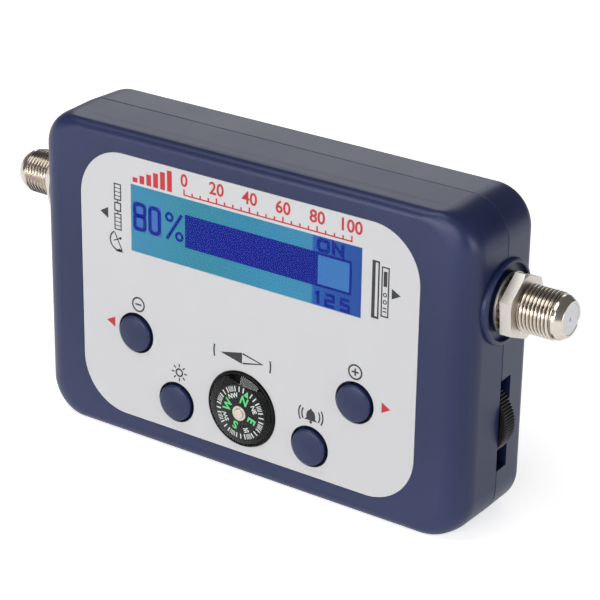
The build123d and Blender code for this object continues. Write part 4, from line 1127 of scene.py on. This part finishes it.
marks = [
    strip(octagon(-27.2, -24.6, 50.6, digit_high, 0.5), stroke, True),
    strip(octagon(-27.2, -24.6, digit_low, digit_middle, 0.5), stroke, True),
    strip(octagon(-23.3, -20.9, digit_low, digit_high, 0.6), stroke, True),
    strip([(-19.0, 47.4), (-15.2, 53.3)], slash_stroke),
    circle(-18.35, 52.2, 0.78, ring_stroke), circle(-15.85, 48.5, 0.78, ring_stroke),
    rectangle(bar_from, bar_to, bar_low, bar_high),
    strip([(bar_to, 53.45), (25.3, 53.45), (25.3, 46.85), (bar_to, 46.85)], box_stroke),
    strip(octagon(17.8, 20.1, 54.25, 56.35, 0.35), small_stroke, True),
    strip([(21.3, 53.95), (21.3, 56.4), (23.4, 54.2), (23.4, 56.6)], small_stroke),
    strip([(17.2, 44.95), (17.9, 45.35), (17.9, 42.95)], one_stroke),
]
for path in (
    [(19.6, 45.35), (21.5, 45.35), (21.5, 44.25), (19.7, 44.15), (19.7, 43.1), (21.8, 43.1)],
    [(25.2, 45.35), (23.3, 45.35), (23.3, 44.3), (25.1, 44.2), (25.1, 43.1), (23.0, 43.1)],
):
    marks.append(strip(path, figure_stroke))
seg_front, seg_rear = cell_face - 0.035, cell_face - 0.006
printed("display_reading", marks, segments, "case", seg_front, seg_rear)
pale = [
    rectangle(-27.6, -24.2, 47.2, 53.6), rectangle(-23.7, -20.4, 47.2, 53.6),
    rectangle(17.75, 25.2, 46.9, 53.4),
]
pale_front, pale_rear = cell_face - 0.005, cell_face + 0.01
printed("display_pale_blocks", pale, pale_cells, "case", pale_front, pale_rear)

# %% [markdown]
# ## The compass card
# The card floats and turns, so its print rides on the dial's body. It is divided into 32 marks:
# an arrowhead at north, then white strokes, every fourth mark a bundle of four thin ones. The four
# points of the compass are green and the others are white. The card rests with north a little to
# the right.

# %% Compass print
dial_x, dial_z, _, card_face, _ = round_box("compass_dial")
north, mark_count = 20.0, 32
stroke_from, stroke_to, thin_stroke, thick_stroke = 4.6, 5.75, 0.13, 0.25
bundle = (-5.25, -1.75, 1.75, 5.25)
point_radius, point_height, between_radius, between_height = 3.05, 1.85, 3.75, 1.0


def from_north(bearing, radius):
    """A place on the card: bearing in degrees clockwise from north, radius in mm."""
    angle = np.radians(90.0 - north - bearing)
    return np.array([dial_x + radius * np.cos(angle), dial_z + radius * np.sin(angle)])


white = []
for step in range(1, mark_count):
    bearing = step * 360 / mark_count
    offsets, width = (bundle, thin_stroke) if step % 4 == 0 else ((0,), thick_stroke)
    for offset in offsets:
        ends = [from_north(bearing + offset, radius) for radius in (stroke_from, stroke_to)]
        white.append(strip(ends, width))
for bearing, text in ((45, "NE"), (135, "SE"), (225, "SW"), (315, "NW")):
    place = from_north(bearing, between_radius)
    white.append(figures(text, *place, between_height, north + bearing, 0.02))
card_front, card_rear = card_face - 0.03, card_face + 0.01
printed("compass_strokes", white, white_ink, "compass_dial", card_front, card_rear)
green = [
    figures(text, *from_north(bearing, point_radius), point_height, north + bearing, 0.03)
    for bearing, text in ((0, "N"), (90, "E"), (180, "S"), (270, "W"))
]
green.append(outline([from_north(0, 5.5), from_north(8, 4.2), from_north(-8, 4.2)]))
printed("compass_points", green, green_ink, "compass_dial", card_front, card_rear)

# %% [markdown]
# ## The studio
# A product photograph on white needs a floor that fades into its background. More light would
# bleach the object, so the floor glows a little instead, seen only by the camera, in mirrors and
# through glass, and it keeps the object's shadow. The sky is white to the camera and a dim even
# light to everything else. Five soft lamps then shape the case: large ones in front, overhead,
# behind and at the right, and a small low one in front for the highlights.

# %% Floor
floor_half, floor_drop = 6.0, 0.02 * MM
mirror_glow, near_glow, far_glow, near, far = 0.5, 0.68, 1.0, 0.5, 2.5
floor_material, floor_tree, floor_shader = start_material("studio_floor")
floor_place = node(floor_tree, "ShaderNodeTexCoord").outputs["Object"]
floor_noise = node(floor_tree, "ShaderNodeTexNoise", {"Vector": floor_place, "Scale": 3.0})
floor_tone = mix(floor_tree, floor_noise.outputs[0], (0.9, 0.9, 0.9, 1), (0.92, 0.92, 0.92, 1))
floor_tree.links.new(floor_tone, floor_shader.inputs["Base Color"])
floor_shader.inputs["Roughness"].default_value = 0.8
floor_shader.inputs["Specular IOR Level"].default_value = 0.1
path = node(floor_tree, "ShaderNodeLightPath")
through = node(
    floor_tree, "ShaderNodeMath",
    {0: path.outputs["Is Glossy Ray"], 1: path.outputs["Is Transmission Ray"]}, operation="MAXIMUM",
)
mirrored = node(
    floor_tree, "ShaderNodeMath", {0: through.outputs[0], 1: mirror_glow}, operation="MULTIPLY"
)
# The lamps light the floor less far away, so there the glow for the camera rises to plain white
floor_distance = node(floor_tree, "ShaderNodeVectorMath", {0: floor_place}, operation="LENGTH")
seen = node(
    floor_tree, "ShaderNodeMapRange",
    {"Value": floor_distance.outputs["Value"], "From Min": near, "From Max": far,
     "To Min": near_glow, "To Max": far_glow},
)
lift = node(
    floor_tree, "ShaderNodeMath",
    {0: path.outputs["Is Camera Ray"], 1: seen.outputs[0], 2: mirrored.outputs[0]},
    operation="MULTIPLY_ADD",
)
glow = node(floor_tree, "ShaderNodeEmission", {"Strength": lift.outputs[0]})
both = node(floor_tree, "ShaderNodeAddShader", {0: floor_shader.outputs[0], 1: glow.outputs[0]})
floor_tree.links.new(both.outputs[0], floor_tree.get_output_node("ALL").inputs[0])
floor_z = cad_box[0].z - floor_drop
floor_corners = corners(-floor_half, floor_half, -floor_half, floor_half)
floor_mesh = bpy.data.meshes.new("studio_floor")
floor_mesh.from_pydata([(*place, floor_z) for place in floor_corners.tolist()], [], [[0, 1, 2, 3]])
floor_mesh.materials.append(floor_material)
floor = bpy.data.objects.new("studio_floor", floor_mesh)
bpy.context.scene.collection.objects.link(floor)
floor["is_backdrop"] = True
print("floor at", round(floor_z / MM, 3), "mm")

# %% World and lamps
world = bpy.data.worlds.new("studio")
bpy.context.scene.world = world
world.use_nodes = True
world_tree = world.node_tree
world_tree.nodes.clear()
world_path = node(world_tree, "ShaderNodeLightPath")
sky_level = node(
    world_tree, "ShaderNodeMapRange",
    {"Value": world_path.outputs["Is Camera Ray"], "To Min": 0.14, "To Max": 1.0},
)
sky = node(
    world_tree, "ShaderNodeBackground", {"Color": (1, 1, 1, 1), "Strength": sky_level.outputs[0]}
)
node(world_tree, "ShaderNodeOutputWorld", {0: sky.outputs[0]})
aim = np.array([0, 0, 0.03])


def lamp(name, place, width, height, power):
    """A soft lamp, in metres, that looks from its place to the middle of the case."""
    data = bpy.data.lights.new(name, "AREA")
    data.shape = "RECTANGLE"
    data.size, data.size_y, data.energy = width, height, power
    made = bpy.data.objects.new(name, data)
    bpy.context.scene.collection.objects.link(made)
    away = (np.array(place) - aim) / np.linalg.norm(np.array(place) - aim)
    across = np.cross((0, 0, 1), away)
    across /= np.linalg.norm(across)
    turn = Matrix(np.stack([across, np.cross(away, across), away], 1).tolist()).to_4x4()
    made.matrix_world = Matrix.Translation(place) @ turn


lamp("front_lamp", (0.2, -1.45, 0.6), 0.9, 0.9, 9.4)
lamp("high_lamp", (-0.42, -0.5, 1.35), 0.8, 0.8, 6.5)
lamp("back_lamp", (-0.85, 1.25, 0.72), 0.8, 0.8, 2.9)
lamp("right_lamp", (1.6, -0.35, 0.25), 0.7, 0.7, 6.8)
lamp("low_lamp", (-0.5, -1.35, 0.17), 0.56, 0.34, 4.6)
print("five lamps and an even sky")

# %% [markdown]
# ## Finish
# Both boxes, the CAD model's and the visual model's, are printed in mm.

# %% Sizes and finish
visual_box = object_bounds()
sizes = {"cad": [list(corner) for corner in cad_box], "visual": [list(corner) for corner in visual_box]}
millimetres = [[round(value / MM, 2) for value in corner] for box in sizes.values() for corner in box]
print("CAD box and visual box in mm:", millimetres)
